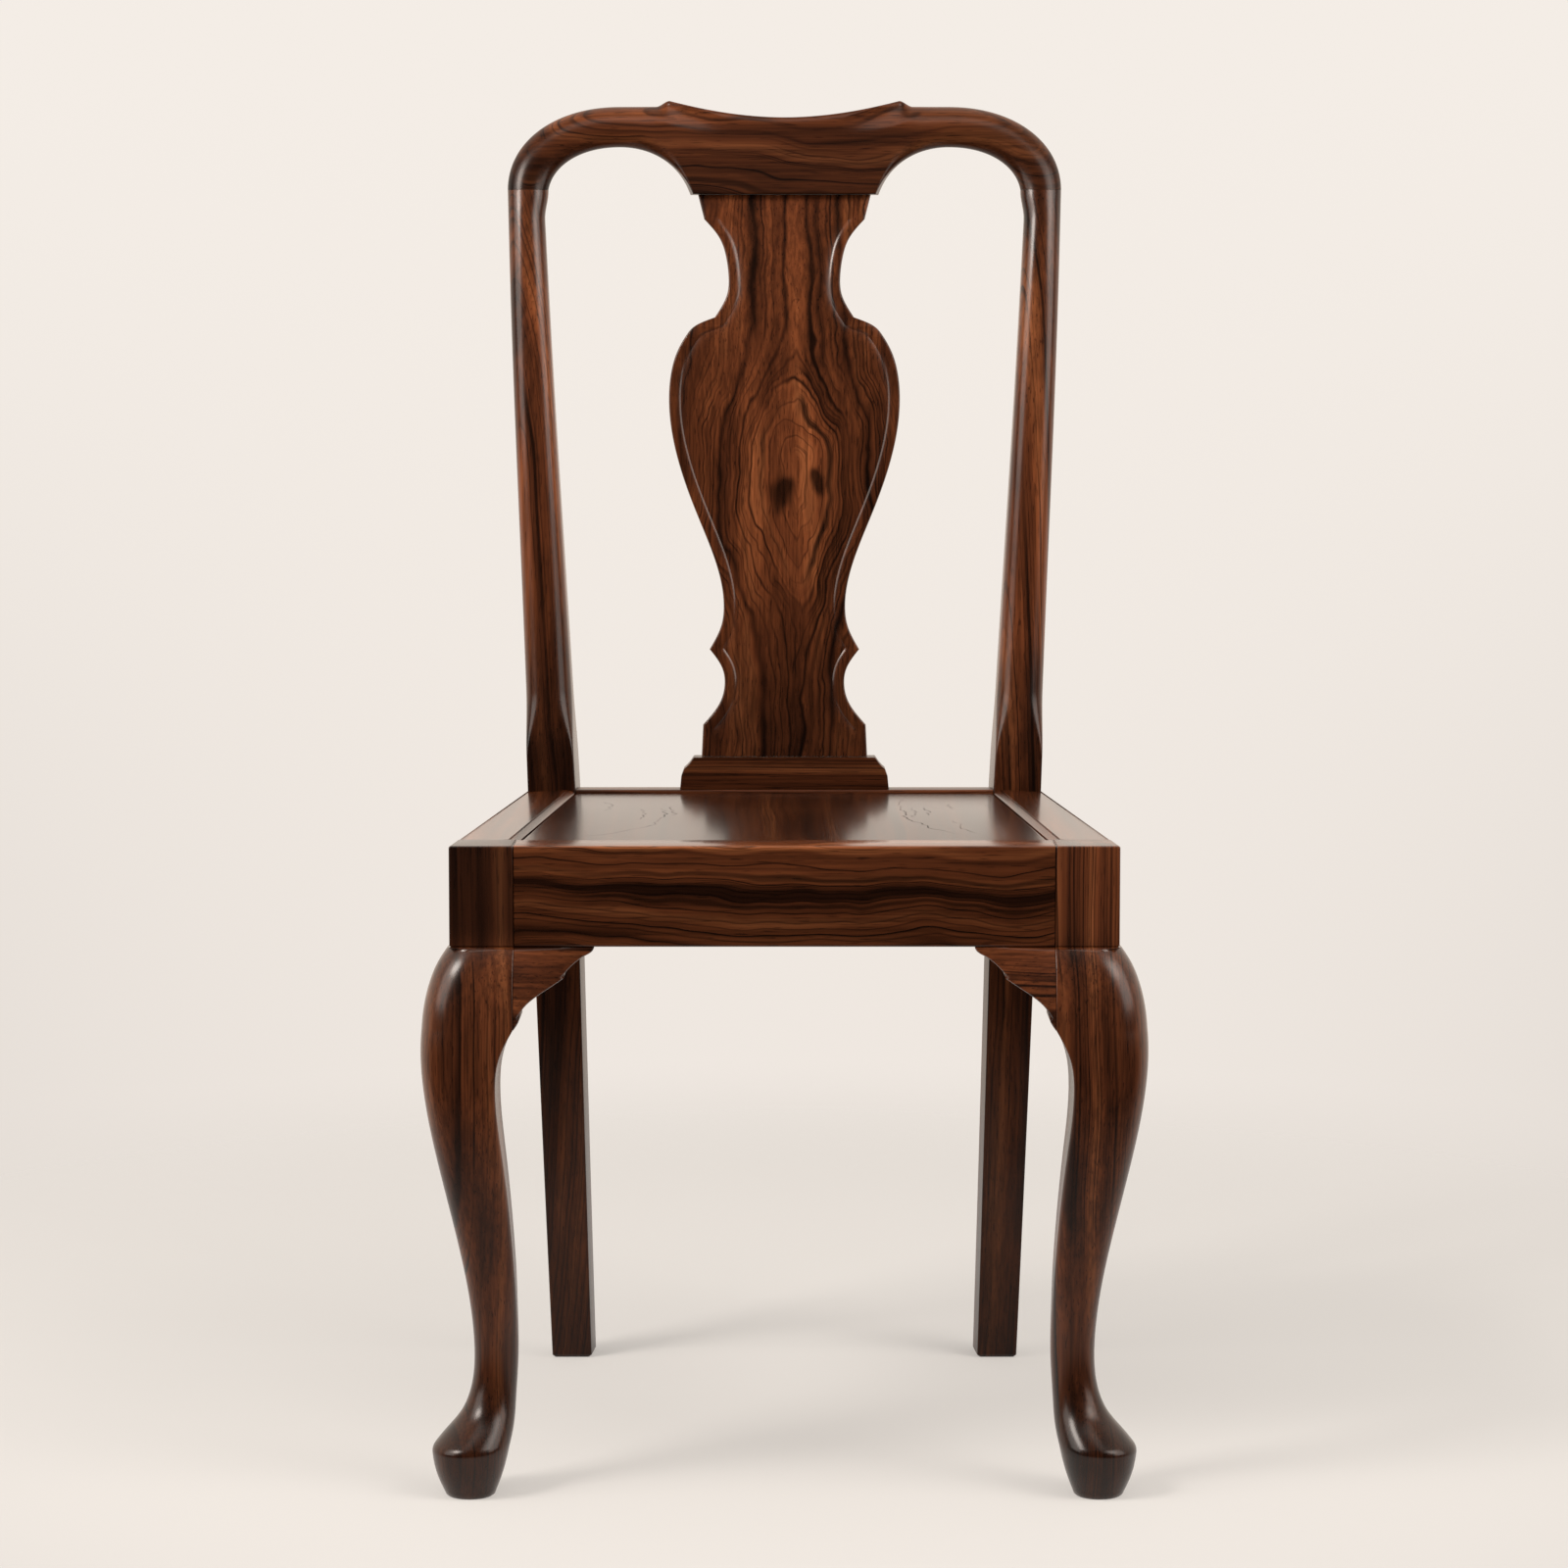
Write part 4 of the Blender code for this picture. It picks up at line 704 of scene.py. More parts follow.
def yoke_rings():
    """Rings from the arm's crown to where the arch meets the crest's lower edge, and on to the centre."""
    end_angle = math.asin(1 - (arch_top - crest_bottom) / ARCH_INNER_RISE)
    corner = arm_crown - ARCH_INNER_RADIUS * math.cos(end_angle)
    centre_z = arch_top - ARCH_INNER_RISE
    yoke_rounding = (YOKE_TOP_ROUND, YOKE_BOTTOM_ROUND, YOKE_REAR_ROUND)
    rings = []
    for i in range(1, NECK_STEPS + 1):
        share = i / NECK_STEPS
        x = mix(arm_crown, corner, share)
        angle = mix(math.pi / 2, end_angle, share)
        under_x = arm_crown - ARCH_INNER_RADIUS * math.cos(angle)
        under_z = centre_z + ARCH_INNER_RISE * math.sin(angle)
        flat = smooth_step(YOKE_FLAT_START, 1, share)
        depth = mix(CREST_ARM_DEPTH, CREST_YOKE_DEPTH, share)
        rounding = [mix(FULL_ROUND, yoke, flat) for yoke in yoke_rounding]
        draft = (flat * ARCH_DRAFT * math.cos(angle), -flat * ARCH_DRAFT * math.sin(angle) * (1 - share))
        rings.append(crest_ring((x, crest_top(x)), (under_x, under_z), depth, rounding, draft))
    for i in range(1, YOKE_STEPS + 1):
        x = corner * (1 - i / YOKE_STEPS)
        rings.append(crest_ring((x, crest_top(x)), (x, crest_bottom), CREST_YOKE_DEPTH, yoke_rounding))
    return rings


def crest_rings():
    right = arm_rings() + yoke_rings()
    left = mirrored(right, -1)
    return right + left[-2::-1]


# Splat and shoe

def splat_outline():
    """Dense points of the splat's right edge as arrays of half width and height."""
    step = SPLAT_EDGE_ROW / splat_height
    base, base_width = SPLAT_BASE
    neck_end = SPLAT_NECK[-1][0]
    shares = [0, base]
    halves = [SPLAT_BOTTOM_WIDTH / 2, base_width * SPLAT_WIDTH / 2]
    for stretch in (SPLAT_SCALLOP, SPLAT_VASE, SPLAT_NECK):
        curve = smooth_curve(stretch)
        stations = spaced(stretch[0][0], stretch[-1][0], step)[1:]
        shares += stations
        halves += [curve(share) * SPLAT_WIDTH / 2 for share in stations]
    shares.append(1)
    halves.append(SPLAT_TOP_WIDTH / 2)
    even = numpy.array(sorted(shares + spaced(0, base, step) + spaced(neck_end, 1, step)))
    return numpy.interp(even, shares, halves), splat_low + even * splat_height


def splat_rows():
    """Heights of the splat's rows."""
    rows = []
    starts = [splat_low + share * splat_height for share, _ in SPLAT_ROWS]
    for low, high, (_, rise) in zip(starts, starts[1:] + [splat_high], SPLAT_ROWS):
        rows += spaced(low, high, SPLAT_ROW * rise)[:-1]
    return rows + [splat_high]


def splat_rings():
    """Raised rim, groove and a field with rolled edges in front, bevelled edges behind."""
    edge_x, edge_z = splat_outline()

    def inset_half(z, distance):
        """Half width of the shape that lies at least a distance inside the edge."""
        near = numpy.abs(edge_z - z) <= distance
        reach = numpy.sqrt(distance ** 2 - (edge_z[near] - z) ** 2)
        return float(numpy.min(edge_x[near] - reach))

    def ring(z):
        front = back_y(z) + SPLAT_SETBACK
        half = float(numpy.interp(z, edge_z, edge_x))
        nearest_end = min(z - splat_low, splat_high - z)
        carved = smooth_step(SPLAT_PLAIN_END, 2 * SPLAT_PLAIN_END, nearest_end)
        roll_start = SPLAT_RIM + SPLAT_GROOVE_WALL
        field_edge = inset_half(z, roll_start + SPLAT_ROLL)
        right = [(field_edge * i / FIELD_STEPS, 0) for i in range(FIELD_STEPS + 1)]
        for i in range(FIELD_STEPS - 1, -1, -1):
            share = i / FIELD_STEPS
            fall = SPLAT_GROOVE_DEPTH * (1 - share) ** SPLAT_ROLL_BEND
            right.append((inset_half(z, roll_start + SPLAT_ROLL * share), fall * carved))
        right.append((inset_half(z, SPLAT_RIM), 0))
        ease_across, ease_back = SPLAT_EDGE_EASE
        for step in range(EASE_STEPS + 1):
            angle = math.pi / 2 * step / EASE_STEPS
            right.append((half - ease_across * (1 - math.sin(angle)), ease_back * (1 - math.cos(angle))))
        right.append((half, SPLAT_THICKNESS / 2))
        right.append((half - SPLAT_BACK_BEVEL, SPLAT_THICKNESS))
        points = [Vector((x, front + depth, z)) for x, depth in right]
        return points + [Vector((-point.x, point.y, z)) for point in points[:0:-1]]

    return [ring(z) for z in splat_rows()]


def shoe_rings():
    base = SEAT_HEIGHT + GAP
    front = SEAT_DEPTH + SHOE_SETBACK
    rear = front + SHOE_DEPTH

    def ring(z, shorter):
        half = SHOE_LENGTH / 2 - shorter
        return level_ring(z, front, half, rear, half, SHOE_EASE)

    rings = [ring(base, 0)] + [ring(shoe_top - drop, shorter) for drop, shorter in SHOE_MOULDING]
    last_drop, last_shorter = SHOE_MOULDING[-1]
    return rings + [ring(shoe_top, last_shorter + last_drop)]


# Wood figure. A noise is its scale per metre along each axis, the grain's last, and its detail. A span is
# the two noise values between which something comes in, a depth what it does to the colour there.
GRAIN_TURN = {"x": (0, -math.pi / 2, 0), "y": (math.pi / 2, 0, 0), "z": (0, 0, 0)}
ACROSS_GRAIN = (1, 1, 0)
MIDDLE_SPAN = (0.3, 0.7)
DRIFT_SCALE = (7, 7, 2.2)
DRIFT_DETAIL = 3
DRIFT_REACH = (0.026, 0.026, 0)
BANDS = (60, 3)
STREAKS = ((45, 45, 2.6), 3)
STREAK_SHARE = 0.45
FIBRES = ((420, 420, 8), 4)
FIBRE_SPAN = (0.32, 0.68)
FIBRE_DEPTH = (0.72, 1.26)
FIBRE_RELIEF = 0.6
PORES = ((1000, 1000, 45), 1)
PORE_SPAN = (0.6, 0.72)
PORE_DEPTH = 0.45
CLOUDS = ((14, 14, 2), 2)
CLOUD_DEPTH = (0.72, 1.28)
GRAIN_RELIEF = 0.00005
BUMP_STRENGTH = 0.5
# Dark growth lines: (scale of their spacing, count, width in shares of the spacing, darkest)
LINES = [(18, 10, 0.18, 0.82), (44, 11, 0.32, 0.6)]
LINE_DETAIL = 1
LINE_EDGE = 0.05
LINE_FADE = ((30, 30, 2), 2)
LINE_FADE_SPAN = (0.32, 0.56)
# Colours from the darkest streaks to the lightest wood between them: (noise value, colour)
ROSEWOOD_BANDS = [(0.34, (0.02, 0.0055, 0.0019)), (0.43, (0.07, 0.0185, 0.0058)),
                  (0.53, (0.118, 0.032, 0.0098)), (0.66, (0.205, 0.064, 0.021))]
ROSEWOOD_ROUGHNESS = (0.3, 0.4)
WOOD_GLOSS = 0.06
WOOD_GLOSS_TINT = (1, 0.55, 0.4, 1)

# Lacquer: (weights by height, roughness)
COAT = ([(0, 0.66)], 0.26)
LEG_COAT = ([(0.09, 0.8), (0.16, 0.62), (0.25, 0.62), (0.36, 1)], 0.24)
POST_COAT = ([(0.38, 0.36), (0.52, 1)], 0.22)
RAIL_COAT = ([(0, 1)], 0.18)
SPLAT_COAT = ([(0, 1)], 0.2)
CREST_COAT = ([(0, 0.55)], 0.24)
SEAT_COAT = ([(0, 1)], 0.19)

# Boards: where the tree's pith lies across the grain, with the length of the log as third value,
# and how light the colour is made by height, which on the front rail's top is a painted highlight
PLAIN_TONE = [(0, 1)]
BOARDS = {
    # The front rail's top face and eased edge are painted lighter than its front: a painted highlight
    "front_rail": dict(grain="x", pith=(0.874, 0.31, 2.6), tone=[(0.464, 0.8), (0.4664, 1.5)],
                       coat=RAIL_COAT, wander=2, drift_scale=(9, 9, 5.5)),
    "back_rail": dict(grain="x", pith=(0.9, 0.05, 4.1)),
    "seat_panel": dict(grain="y", pith=(0.4, 0.6, 2.3), tone=[(0, 0.4)], coat=SEAT_COAT),
    "crest_rail": dict(grain="x", pith=(1.3, 0.02, 6.9), coat=CREST_COAT, wander=1.7,
                       tone=[(0.955, 0.33), (0.988, 0.54), (1.001, 1)], drift_scale=(8, 8, 4.5)),
    "splat_shoe": dict(grain="x", pith=(0.85, 0.01, 8.4), tone=[(0, 0.5)], coat=CREST_COAT),
    "front_leg_left": dict(
        grain="z", pith=(0.6, 0.33, -0.3), coat=LEG_COAT,
        tone=[(0.05, 0.26), (0.14, 0.62), (0.3, 0.7), (0.385, 0.7), (0.412, 0.3)]),
    "front_leg_right": dict(
        grain="z", pith=(0.6, 0.33, 1.7), coat=LEG_COAT,
        tone=[(0.05, 0.26), (0.14, 0.8), (0.3, 0.78), (0.385, 0.78), (0.412, 1.12)]),
    "rear_post_left": dict(
        grain="z", pith=(0.6, 0.2, 4.1), coat=POST_COAT,
        tone=[(0, 0.32), (0.14, 0.5), (0.38, 0.46), (0.48, 0.3), (0.54, 0.55), (0.6, 1),
              (0.66, 1.35), (0.8, 1.3), (0.94, 0.62)]),
    "rear_post_right": dict(
        grain="z", pith=(0.6, 0.2, 8.1), coat=POST_COAT,
        tone=[(0, 0.32), (0.14, 0.5), (0.38, 0.46), (0.48, 0.54), (0.55, 0.56), (0.6, 1.15),
              (0.66, 1.2), (0.8, 0.95), (0.94, 0.62)]),
    "side_rail_left": dict(grain="y", pith=(0.7, 0.9, 6.7), coat=RAIL_COAT),
    "side_rail_right": dict(grain="y", pith=(0.7, 0.9, 8.7), coat=RAIL_COAT),
    "bracket_left": dict(grain="x", pith=(0.9, 0.2, 8.7)),
    "bracket_right": dict(grain="x", pith=(0.9, 0.2, 10.7)),
}

# Hidden pieces: sawn wood and steel
SAWN_STREAKS = ((70, 70, 14), 3)
SAWN_COLOURS = [(0.3, (0.11, 0.048, 0.022)), (0.7, (0.26, 0.125, 0.06))]
SAWN_ROUGHNESS = 0.72
SAW_MARKS = ((24, 24, 420), 2)
SAW_MARK_DEPTH = (0.88, 1.1)
SAW_MARK_RELIEF = 0.0001
TURNING_MARKS = ((900, 900, 900), 2)
STEEL_COLOURS = [(0.3, (0.46, 0.45, 0.42)), (0.7, (0.6, 0.59, 0.55))]
STEEL_ROUGHNESS = (0.34, 0.5)

# Eye in the splat's figure: its place (across, height), its depth in the board and the lengths of its ends
EYE_PLACE = (0.01, 0.718)
EYE_DEPTH = 0.041
EYE_UP = 0.058
EYE_DOWN = 0.088
# How far rings turn from round to pointed below and above the eye's middle, and over which height
EYE_POINT = 0.8
EYE_TOP_POINT = 0.3
EYE_POINT_REACH = 0.07
EYE_FLANK = 0.8
EYE_TONES = (0, 0.075, 1.42, 0.92)
EYE_RIPPLE = ((38, 38, 22), 2)
EYE_RIPPLE_REACH = (0.015, 0, 0.042)
SPLAT_FOOT_SHADE = (0.5, 0.66, 0.52, 1)
# Knots: ((across, height), size)
KNOTS = [((-0.002, 0.699), 0.014), ((0.0265, 0.708), 0.01)]
KNOT_FLATTENING = (1, 0, 0.75)
KNOT_CORE = 0.3
KNOT_DARKEST = 0.16
# Dark rings of the eye: (distance from its middle, half width, darkest)
EYE_RINGS = [(0.013, 0.0009, 0.5), (0.0205, 0.0008, 0.4), (0.0262, 0.0009, 0.45),
             (0.0335, 0.0013, 0.85), (0.0392, 0.0008, 0.55), (0.044, 0.0011, 0.7),
             (0.049, 0.0008, 0.6), (0.0528, 0.0009, 0.55), (0.059, 0.0034, 0.75),
             (0.065, 0.0009, 0.6), (0.0705, 0.0011, 0.65), (0.0765, 0.001, 0.6)]
EYE_RING_FADE = ((26, 26, 9), 2)
EYE_RING_FADE_SPAN = (0.36, 0.6)
EYE_RING_FAINTEST = 0.25

# Checks in the seat's lacquer: (across, nearer end, farther end, half width), then where each one starts
# to sweep outward on its way to the front, and how strongly
SEAT_CHECKS = [(0.0905, 0.088, 0.385, 0.0008, 0.3, 1.32),
               (-0.094, 0.075, 0.3, 0.0008, 0.215, -5.1),
               (-0.11, 0.205, 0.29, 0.0006, 0.24, -1.5),
               (-0.135, 0.27, 0.345, 0.0005, 0.3, -1.5),
               (-0.087, 0.235, 0.31, 0.0006, 0.26, -1.5),
               (0.11, 0.235, 0.305, 0.0006, 0.26, 1.5),
               (0.0995, 0.22, 0.31, 0.0005, 0.26, 1.5),
               (0.128, 0.275, 0.33, 0.0005, 0.3, 1.5),
               (0.131, 0.105, 0.205, 0.0006, 0.2, 1.5),
               (0.156, 0.26, 0.33, 0.0005, 0.3, 1.5)]
CHECK_BEND = 2.2
CHECK_TAPER = (0.3, 0.5)
CHECK_WOBBLES = ((10, 26, 1), 2)
CHECK_WOBBLE = 0.01
CHECK_FADE = ((30, 30, 1), 1)
CHECK_FADE_SPAN = (0.35, 0.6)
CHECK_DEPTH = (0.25, 0.85)


class Nodes:
    """Adds nodes by short calls: inputs in order or named, settings as keywords."""

    def __init__(self, tree):
        self.tree = tree

    def put(self, value, socket):
        """Link an output to a socket, or set the socket to a value."""
        if isinstance(value, bpy.types.NodeSocket):
            self.tree.links.new(value, socket)
        else:
            socket.default_value = value

    def add(self, kind, *values, named=(), output=0, **settings):
        node = self.tree.nodes.new("ShaderNode" + kind)
        for key, setting in settings.items():
            setattr(node, key, setting)
        for key, value in [*enumerate(values), *dict(named).items()]:
            self.put(value, node.inputs[key])
        return node.outputs[output]

    def shade(self, values):
        """Give inputs of the surface's shader their links and values."""
        shader = self.tree.nodes["Principled BSDF"]
        for name, value in values.items():
            self.put(value, shader.inputs[name])

    def math(self, operation, *values):
        return self.add("Math", *values, operation=operation)

    def vector(self, operation, *values):
        return self.add("VectorMath", *values, operation=operation)

    def length(self, vector):
        return self.add("VectorMath", vector, operation="LENGTH", output="Value")

    def plus(self, first, second):
        return self.math("ADD", first, second)

    def minus(self, first, second):
        return self.math("SUBTRACT", first, second)

    def times(self, first, second):
        return self.math("MULTIPLY", first, second)

    def apart(self, first, second):
        return self.math("ABSOLUTE", self.minus(first, second))

    def noise(self, vector, scale, detail, output=0):
        """Noise with its own scale along each axis."""
        stretched = self.vector("MULTIPLY", vector, scale)
        return self.add("TexNoise", stretched, named={"Scale": 1, "Detail": detail}, output=output)

    def shifts(self, vector, scale, detail):
        """The same as a vector around zero."""
        return self.vector("SUBTRACT", self.noise(vector, scale, detail, "Color"), (0.5, 0.5, 0.5))

    def noise_along(self, position, scale, detail):
        """Noise along one direction only."""
        named = {"W": position, "Scale": scale, "Detail": detail}
        return self.add("TexNoise", named=named, noise_dimensions="1D")

    def range(self, value, low, high, start, end):
        return self.add("MapRange", value, low, high, start, end, interpolation_type="SMOOTHSTEP")

    def ramp(self, value, stops):
        output = self.add("ValToRGB", value)
        elements = output.node.color_ramp.elements
        while len(elements) < len(stops):
            elements.new(0.5)
        for element, (position, colour) in zip(elements, stops):
            element.position = position
            element.color = (*colour, 1)
        return output

    def scaled(self, colour, factor):
        """Colour times a number."""
        return self.vector("MULTIPLY", colour, self.add("CombineXYZ", factor, factor, factor))

    def bump(self, height, distance):
        return self.add("Bump", named={"Strength": BUMP_STRENGTH, "Distance": distance, "Height": height})


def new_material(name):
    material = bpy.data.materials.new(name)
    material.use_nodes = True
    return material, Nodes(material.node_tree)


def drifted(nodes, along, wander=1, drift_scale=DRIFT_SCALE):
    """Grain coordinates bent by slow noise, so that streaks wander as they do in a board."""
    reach = [wander * part for part in DRIFT_REACH]
    drift = nodes.shifts(along, drift_scale, DRIFT_DETAIL)
    return nodes.vector("ADD", along, nodes.vector("MULTIPLY", drift, reach))


def by_height(nodes, stops):
    """Value that goes from each (height, value) to the next one up."""
    height = nodes.add("SeparateXYZ", nodes.add("TexCoord", output="Object")).node.outputs["Z"]
    value = stops[0][1]
    for (low, before), (high, after) in zip(stops, stops[1:]):
        value = nodes.times(value, nodes.range(height, low, high, 1, after / before))
    return value


def finish_wood(nodes, along, bent, radius, tone, coat):
    """Colour from the distance across the growth rings, with fibres, pores and a lacquer coat."""
    bands = nodes.noise_along(radius, *BANDS)
    streaks = nodes.noise(bent, *STREAKS)
    figure = nodes.add("Mix", STREAK_SHARE, named={2: bands, 3: streaks})
    colour = nodes.ramp(figure, ROSEWOOD_BANDS)
    strength = nodes.noise(bent, *LINE_FADE)
    for scale, count, width, depth in LINES:
        spacing = nodes.times(nodes.noise_along(radius, scale, LINE_DETAIL), count)
        place = nodes.math("FRACT", spacing)
        edge = nodes.range(place, 0, LINE_EDGE, 0, 1)
        line = nodes.times(edge, nodes.range(place, LINE_EDGE, width, 1, 0))
        dark = nodes.times(line, nodes.range(strength, *LINE_FADE_SPAN, 0, depth))
        colour = nodes.scaled(colour, nodes.minus(1, dark))
    clouds = nodes.noise(along, *CLOUDS)
    colour = nodes.scaled(colour, nodes.range(clouds, *MIDDLE_SPAN, *CLOUD_DEPTH))
    fibres = nodes.noise(along, *FIBRES)
    colour = nodes.scaled(colour, nodes.range(fibres, *FIBRE_SPAN, *FIBRE_DEPTH))
    open_pores = nodes.range(nodes.noise(along, *PORES), *PORE_SPAN, 1, 0)
    colour = nodes.scaled(colour, nodes.range(open_pores, 0, 1, PORE_DEPTH, 1))
    relief = nodes.plus(open_pores, nodes.times(fibres, FIBRE_RELIEF))
    weights, coat_roughness = coat
    nodes.shade({"Base Color": nodes.scaled(colour, tone),
                 "Roughness": nodes.range(clouds, *MIDDLE_SPAN, *ROSEWOOD_ROUGHNESS),
                 "Normal": nodes.bump(relief, GRAIN_RELIEF),
                 "Specular IOR Level": WOOD_GLOSS,
                 "Specular Tint": WOOD_GLOSS_TINT,
                 "Coat Weight": by_height(nodes, weights),
                 "Coat Roughness": coat_roughness})


def rosewood(name, grain, pith, tone=PLAIN_TONE, coat=COAT, wander=1, drift_scale=DRIFT_SCALE):
    """Board cut along the grain, its figure drawn by the rings around the pith."""
    material, nodes = new_material("rosewood_" + name)
    place = nodes.add("TexCoord", output="Object")
    along = nodes.add("Mapping", place, named={"Location": pith, "Rotation": GRAIN_TURN[grain]})
    bent = drifted(nodes, along, wander, drift_scale)
    radius = nodes.length(nodes.vector("MULTIPLY", bent, ACROSS_GRAIN))
    finish_wood(nodes, along, bent, radius, by_height(nodes, tone), coat)
    return material


def open_checks(material):
    """Hair-thin checks along the lacquered face's grain, where the gloss breaks."""
    nodes = Nodes(material.node_tree)
    place = nodes.add("TexCoord", output="Object")
    axes = nodes.add("SeparateXYZ", place).node.outputs
    wobble = nodes.range(nodes.noise(place, *CHECK_WOBBLES), 0, 1, -CHECK_WOBBLE, CHECK_WOBBLE)
    across = nodes.plus(axes["X"], wobble)
    along = nodes.minus(axes["Y"], front_y)
    check = 0
    for x, near, far, width, bend, sweep in SEAT_CHECKS:
        ahead = nodes.math("MAXIMUM", nodes.minus(bend, along), 0)
        path = nodes.math("MULTIPLY_ADD", nodes.math("POWER", ahead, CHECK_BEND), sweep, x)
        line = nodes.range(nodes.apart(across, path), 0, width, 1, 0)
        off_middle = nodes.apart(along, (near + far) / 2)
        taper = [(far - near) * share for share in CHECK_TAPER]
        ends = nodes.range(off_middle, *taper, 1, 0)
        check = nodes.math("MAXIMUM", check, nodes.times(line, ends))
    fade = nodes.range(nodes.noise(place, *CHECK_FADE), *CHECK_FADE_SPAN, *CHECK_DEPTH)
    check = nodes.times(check, fade)
    sound = nodes.minus(1, check)
    inputs = material.node_tree.nodes["Principled BSDF"].inputs
    colour = inputs["Base Color"].links[0].from_socket
    roughness = inputs["Roughness"].links[0].from_socket
    weight = inputs["Coat Weight"].default_value
    nodes.shade({"Base Color": nodes.scaled(colour, sound),
                 "Roughness": nodes.plus(roughness, check),
                 "Coat Weight": nodes.times(sound, weight)})


def splat_wood():
    """Flat-sawn board: the rings close into an eye with two knots and run out in points below it."""
    material, nodes = new_material("rosewood_splat")
    place = nodes.add("TexCoord", output="Object")
    ripple = nodes.shifts(place, *EYE_RIPPLE)
    bent = nodes.vector("ADD", drifted(nodes, place), nodes.vector("MULTIPLY", ripple, EYE_RIPPLE_REACH))
    axes = nodes.add("SeparateXYZ", bent).node.outputs
    across = nodes.minus(axes["X"], EYE_PLACE[0])
    above = nodes.minus(axes["Z"], EYE_PLACE[1])
    upper = nodes.math("DIVIDE", nodes.math("MAXIMUM", above, 0), EYE_UP)
    lower = nodes.math("DIVIDE", nodes.math("MINIMUM", above, 0), EYE_DOWN)
    reach = nodes.plus(upper, lower)
    fall = nodes.math("EXPONENT", nodes.times(nodes.times(reach, reach), -1))
    deep = nodes.times(nodes.minus(1, fall), EYE_DEPTH)
    rounded = nodes.length(nodes.add("CombineXYZ", across, deep, 0))
    flank = nodes.times(nodes.math("ABSOLUTE", across), EYE_FLANK)
    pointed = nodes.plus(flank, deep)
    below = nodes.range(above, -EYE_POINT_REACH, 0, EYE_POINT, 0)
    over = nodes.range(above, 0, EYE_POINT_REACH, 0, EYE_TOP_POINT)
    radius = nodes.add("Mix", nodes.plus(below, over), named={2: rounded, 3: pointed})
    tone = nodes.times(nodes.range(radius, *EYE_TONES), nodes.range(axes["Z"], *SPLAT_FOOT_SHADE))
    fade = nodes.range(nodes.noise(bent, *EYE_RING_FADE), *EYE_RING_FADE_SPAN, EYE_RING_FAINTEST, 1)
    for distance, width, depth in EYE_RINGS:
        gap = nodes.apart(radius, distance)
        ring = nodes.times(nodes.range(gap, 0, width, depth, 0), fade)
        tone = nodes.times(tone, nodes.minus(1, ring))
    for (x, z), size in KNOTS:
        offset = nodes.vector("SUBTRACT", bent, (x, 0, z))
        away = nodes.length(nodes.vector("MULTIPLY", offset, KNOT_FLATTENING))
        tone = nodes.times(tone, nodes.range(away, size * KNOT_CORE, size, KNOT_DARKEST, 1))
    finish_wood(nodes, place, bent, radius, tone, SPLAT_COAT)
    return material


def secondary_wood():
    """Plain sawn wood of the hidden blocks, battens and dowels."""
    material, nodes = new_material("secondary_wood")
    place = nodes.add("TexCoord", output="Object")
    marks = nodes.noise(place, *SAW_MARKS)
    colour = nodes.ramp(nodes.noise(place, *SAWN_STREAKS), SAWN_COLOURS)
    nodes.shade({"Base Color": nodes.scaled(colour, nodes.range(marks, *MIDDLE_SPAN, *SAW_MARK_DEPTH)),
                 "Roughness": SAWN_ROUGHNESS,
                 "Normal": nodes.bump(marks, SAW_MARK_RELIEF)})
    return material


def screw_steel():
    """Dull steel of the screws, with fine turning marks."""
    material, nodes = new_material("screw_steel")
    marks = nodes.noise(nodes.add("TexCoord", output="Object"), *TURNING_MARKS)
    nodes.shade({"Base Color": nodes.ramp(marks, STEEL_COLOURS),
                 "Roughness": nodes.range(marks, *MIDDLE_SPAN, *STEEL_ROUGHNESS),
                 "Metallic": 1})
    return material


def show_hidden(material, *beginnings):
    """Give the frame's own pieces whose names begin so a material through their slots."""
    for name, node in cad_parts.items():
        if not name.startswith(beginnings):
            continue
        if not node.material_slots:
            node.data.materials.append(material)
        for slot in node.material_slots:
            slot.link = "OBJECT"
            slot.material = material


woods = {name: rosewood(name, **board) for name, board in BOARDS.items()}
woods["splat"] = splat_wood()
open_checks(woods["seat_panel"])
middle_pieces = {"front_rail": cross_rail_rings(0, FRONT_RAIL_THICKNESS, lambda y, z: post_inner_front),
                 "back_rail": cross_rail_rings(SEAT_DEPTH, BACK_RAIL_THICKNESS, post_inner),
                 "seat_panel": panel_rings(),
                 "crest_rail": crest_rings(),
                 "splat": splat_rings(),
                 "splat_shoe": shoe_rings()}
side_pieces = {"front_leg_": leg_rings(), "rear_post_": post_rings(), "side_rail_": side_rail_rings()}
for node, rings in middle_pieces.items():
    loft(node, rings, woods[node])
for side, word in ((-1, "left"), (1, "right")):
    for beginning, rings in side_pieces.items():
        loft(beginning + word, mirrored(rings, side), woods[beginning + word])
    make_bracket("front_bracket_" + word, side, False, woods["bracket_" + word])
    make_bracket("side_bracket_" + word, side, True, woods["bracket_" + word])
show_hidden(secondary_wood(), "seat_batten", "corner_block", "shoe_dowel")
show_hidden(screw_steel(), "block_screw")

# Camera
CAMERA_DISTANCE = 3.0401
CAMERA_HEIGHT = 0.79826
CAMERA_SIDE = -0.00034
CAMERA_TILT = 5.4
CAMERA_LENS = 100
CAMERA_SENSOR = 36
camera_data = bpy.data.cameras.new("camera")
camera_data.lens = CAMERA_LENS
camera_data.sensor_width = CAMERA_SENSOR
camera = add_object("camera", camera_data)
camera.location = (CAMERA_SIDE, front_y - CAMERA_DISTANCE, CAMERA_HEIGHT)
camera.rotation_euler = (math.radians(90 - CAMERA_TILT), 0, 0)
scene.camera = camera
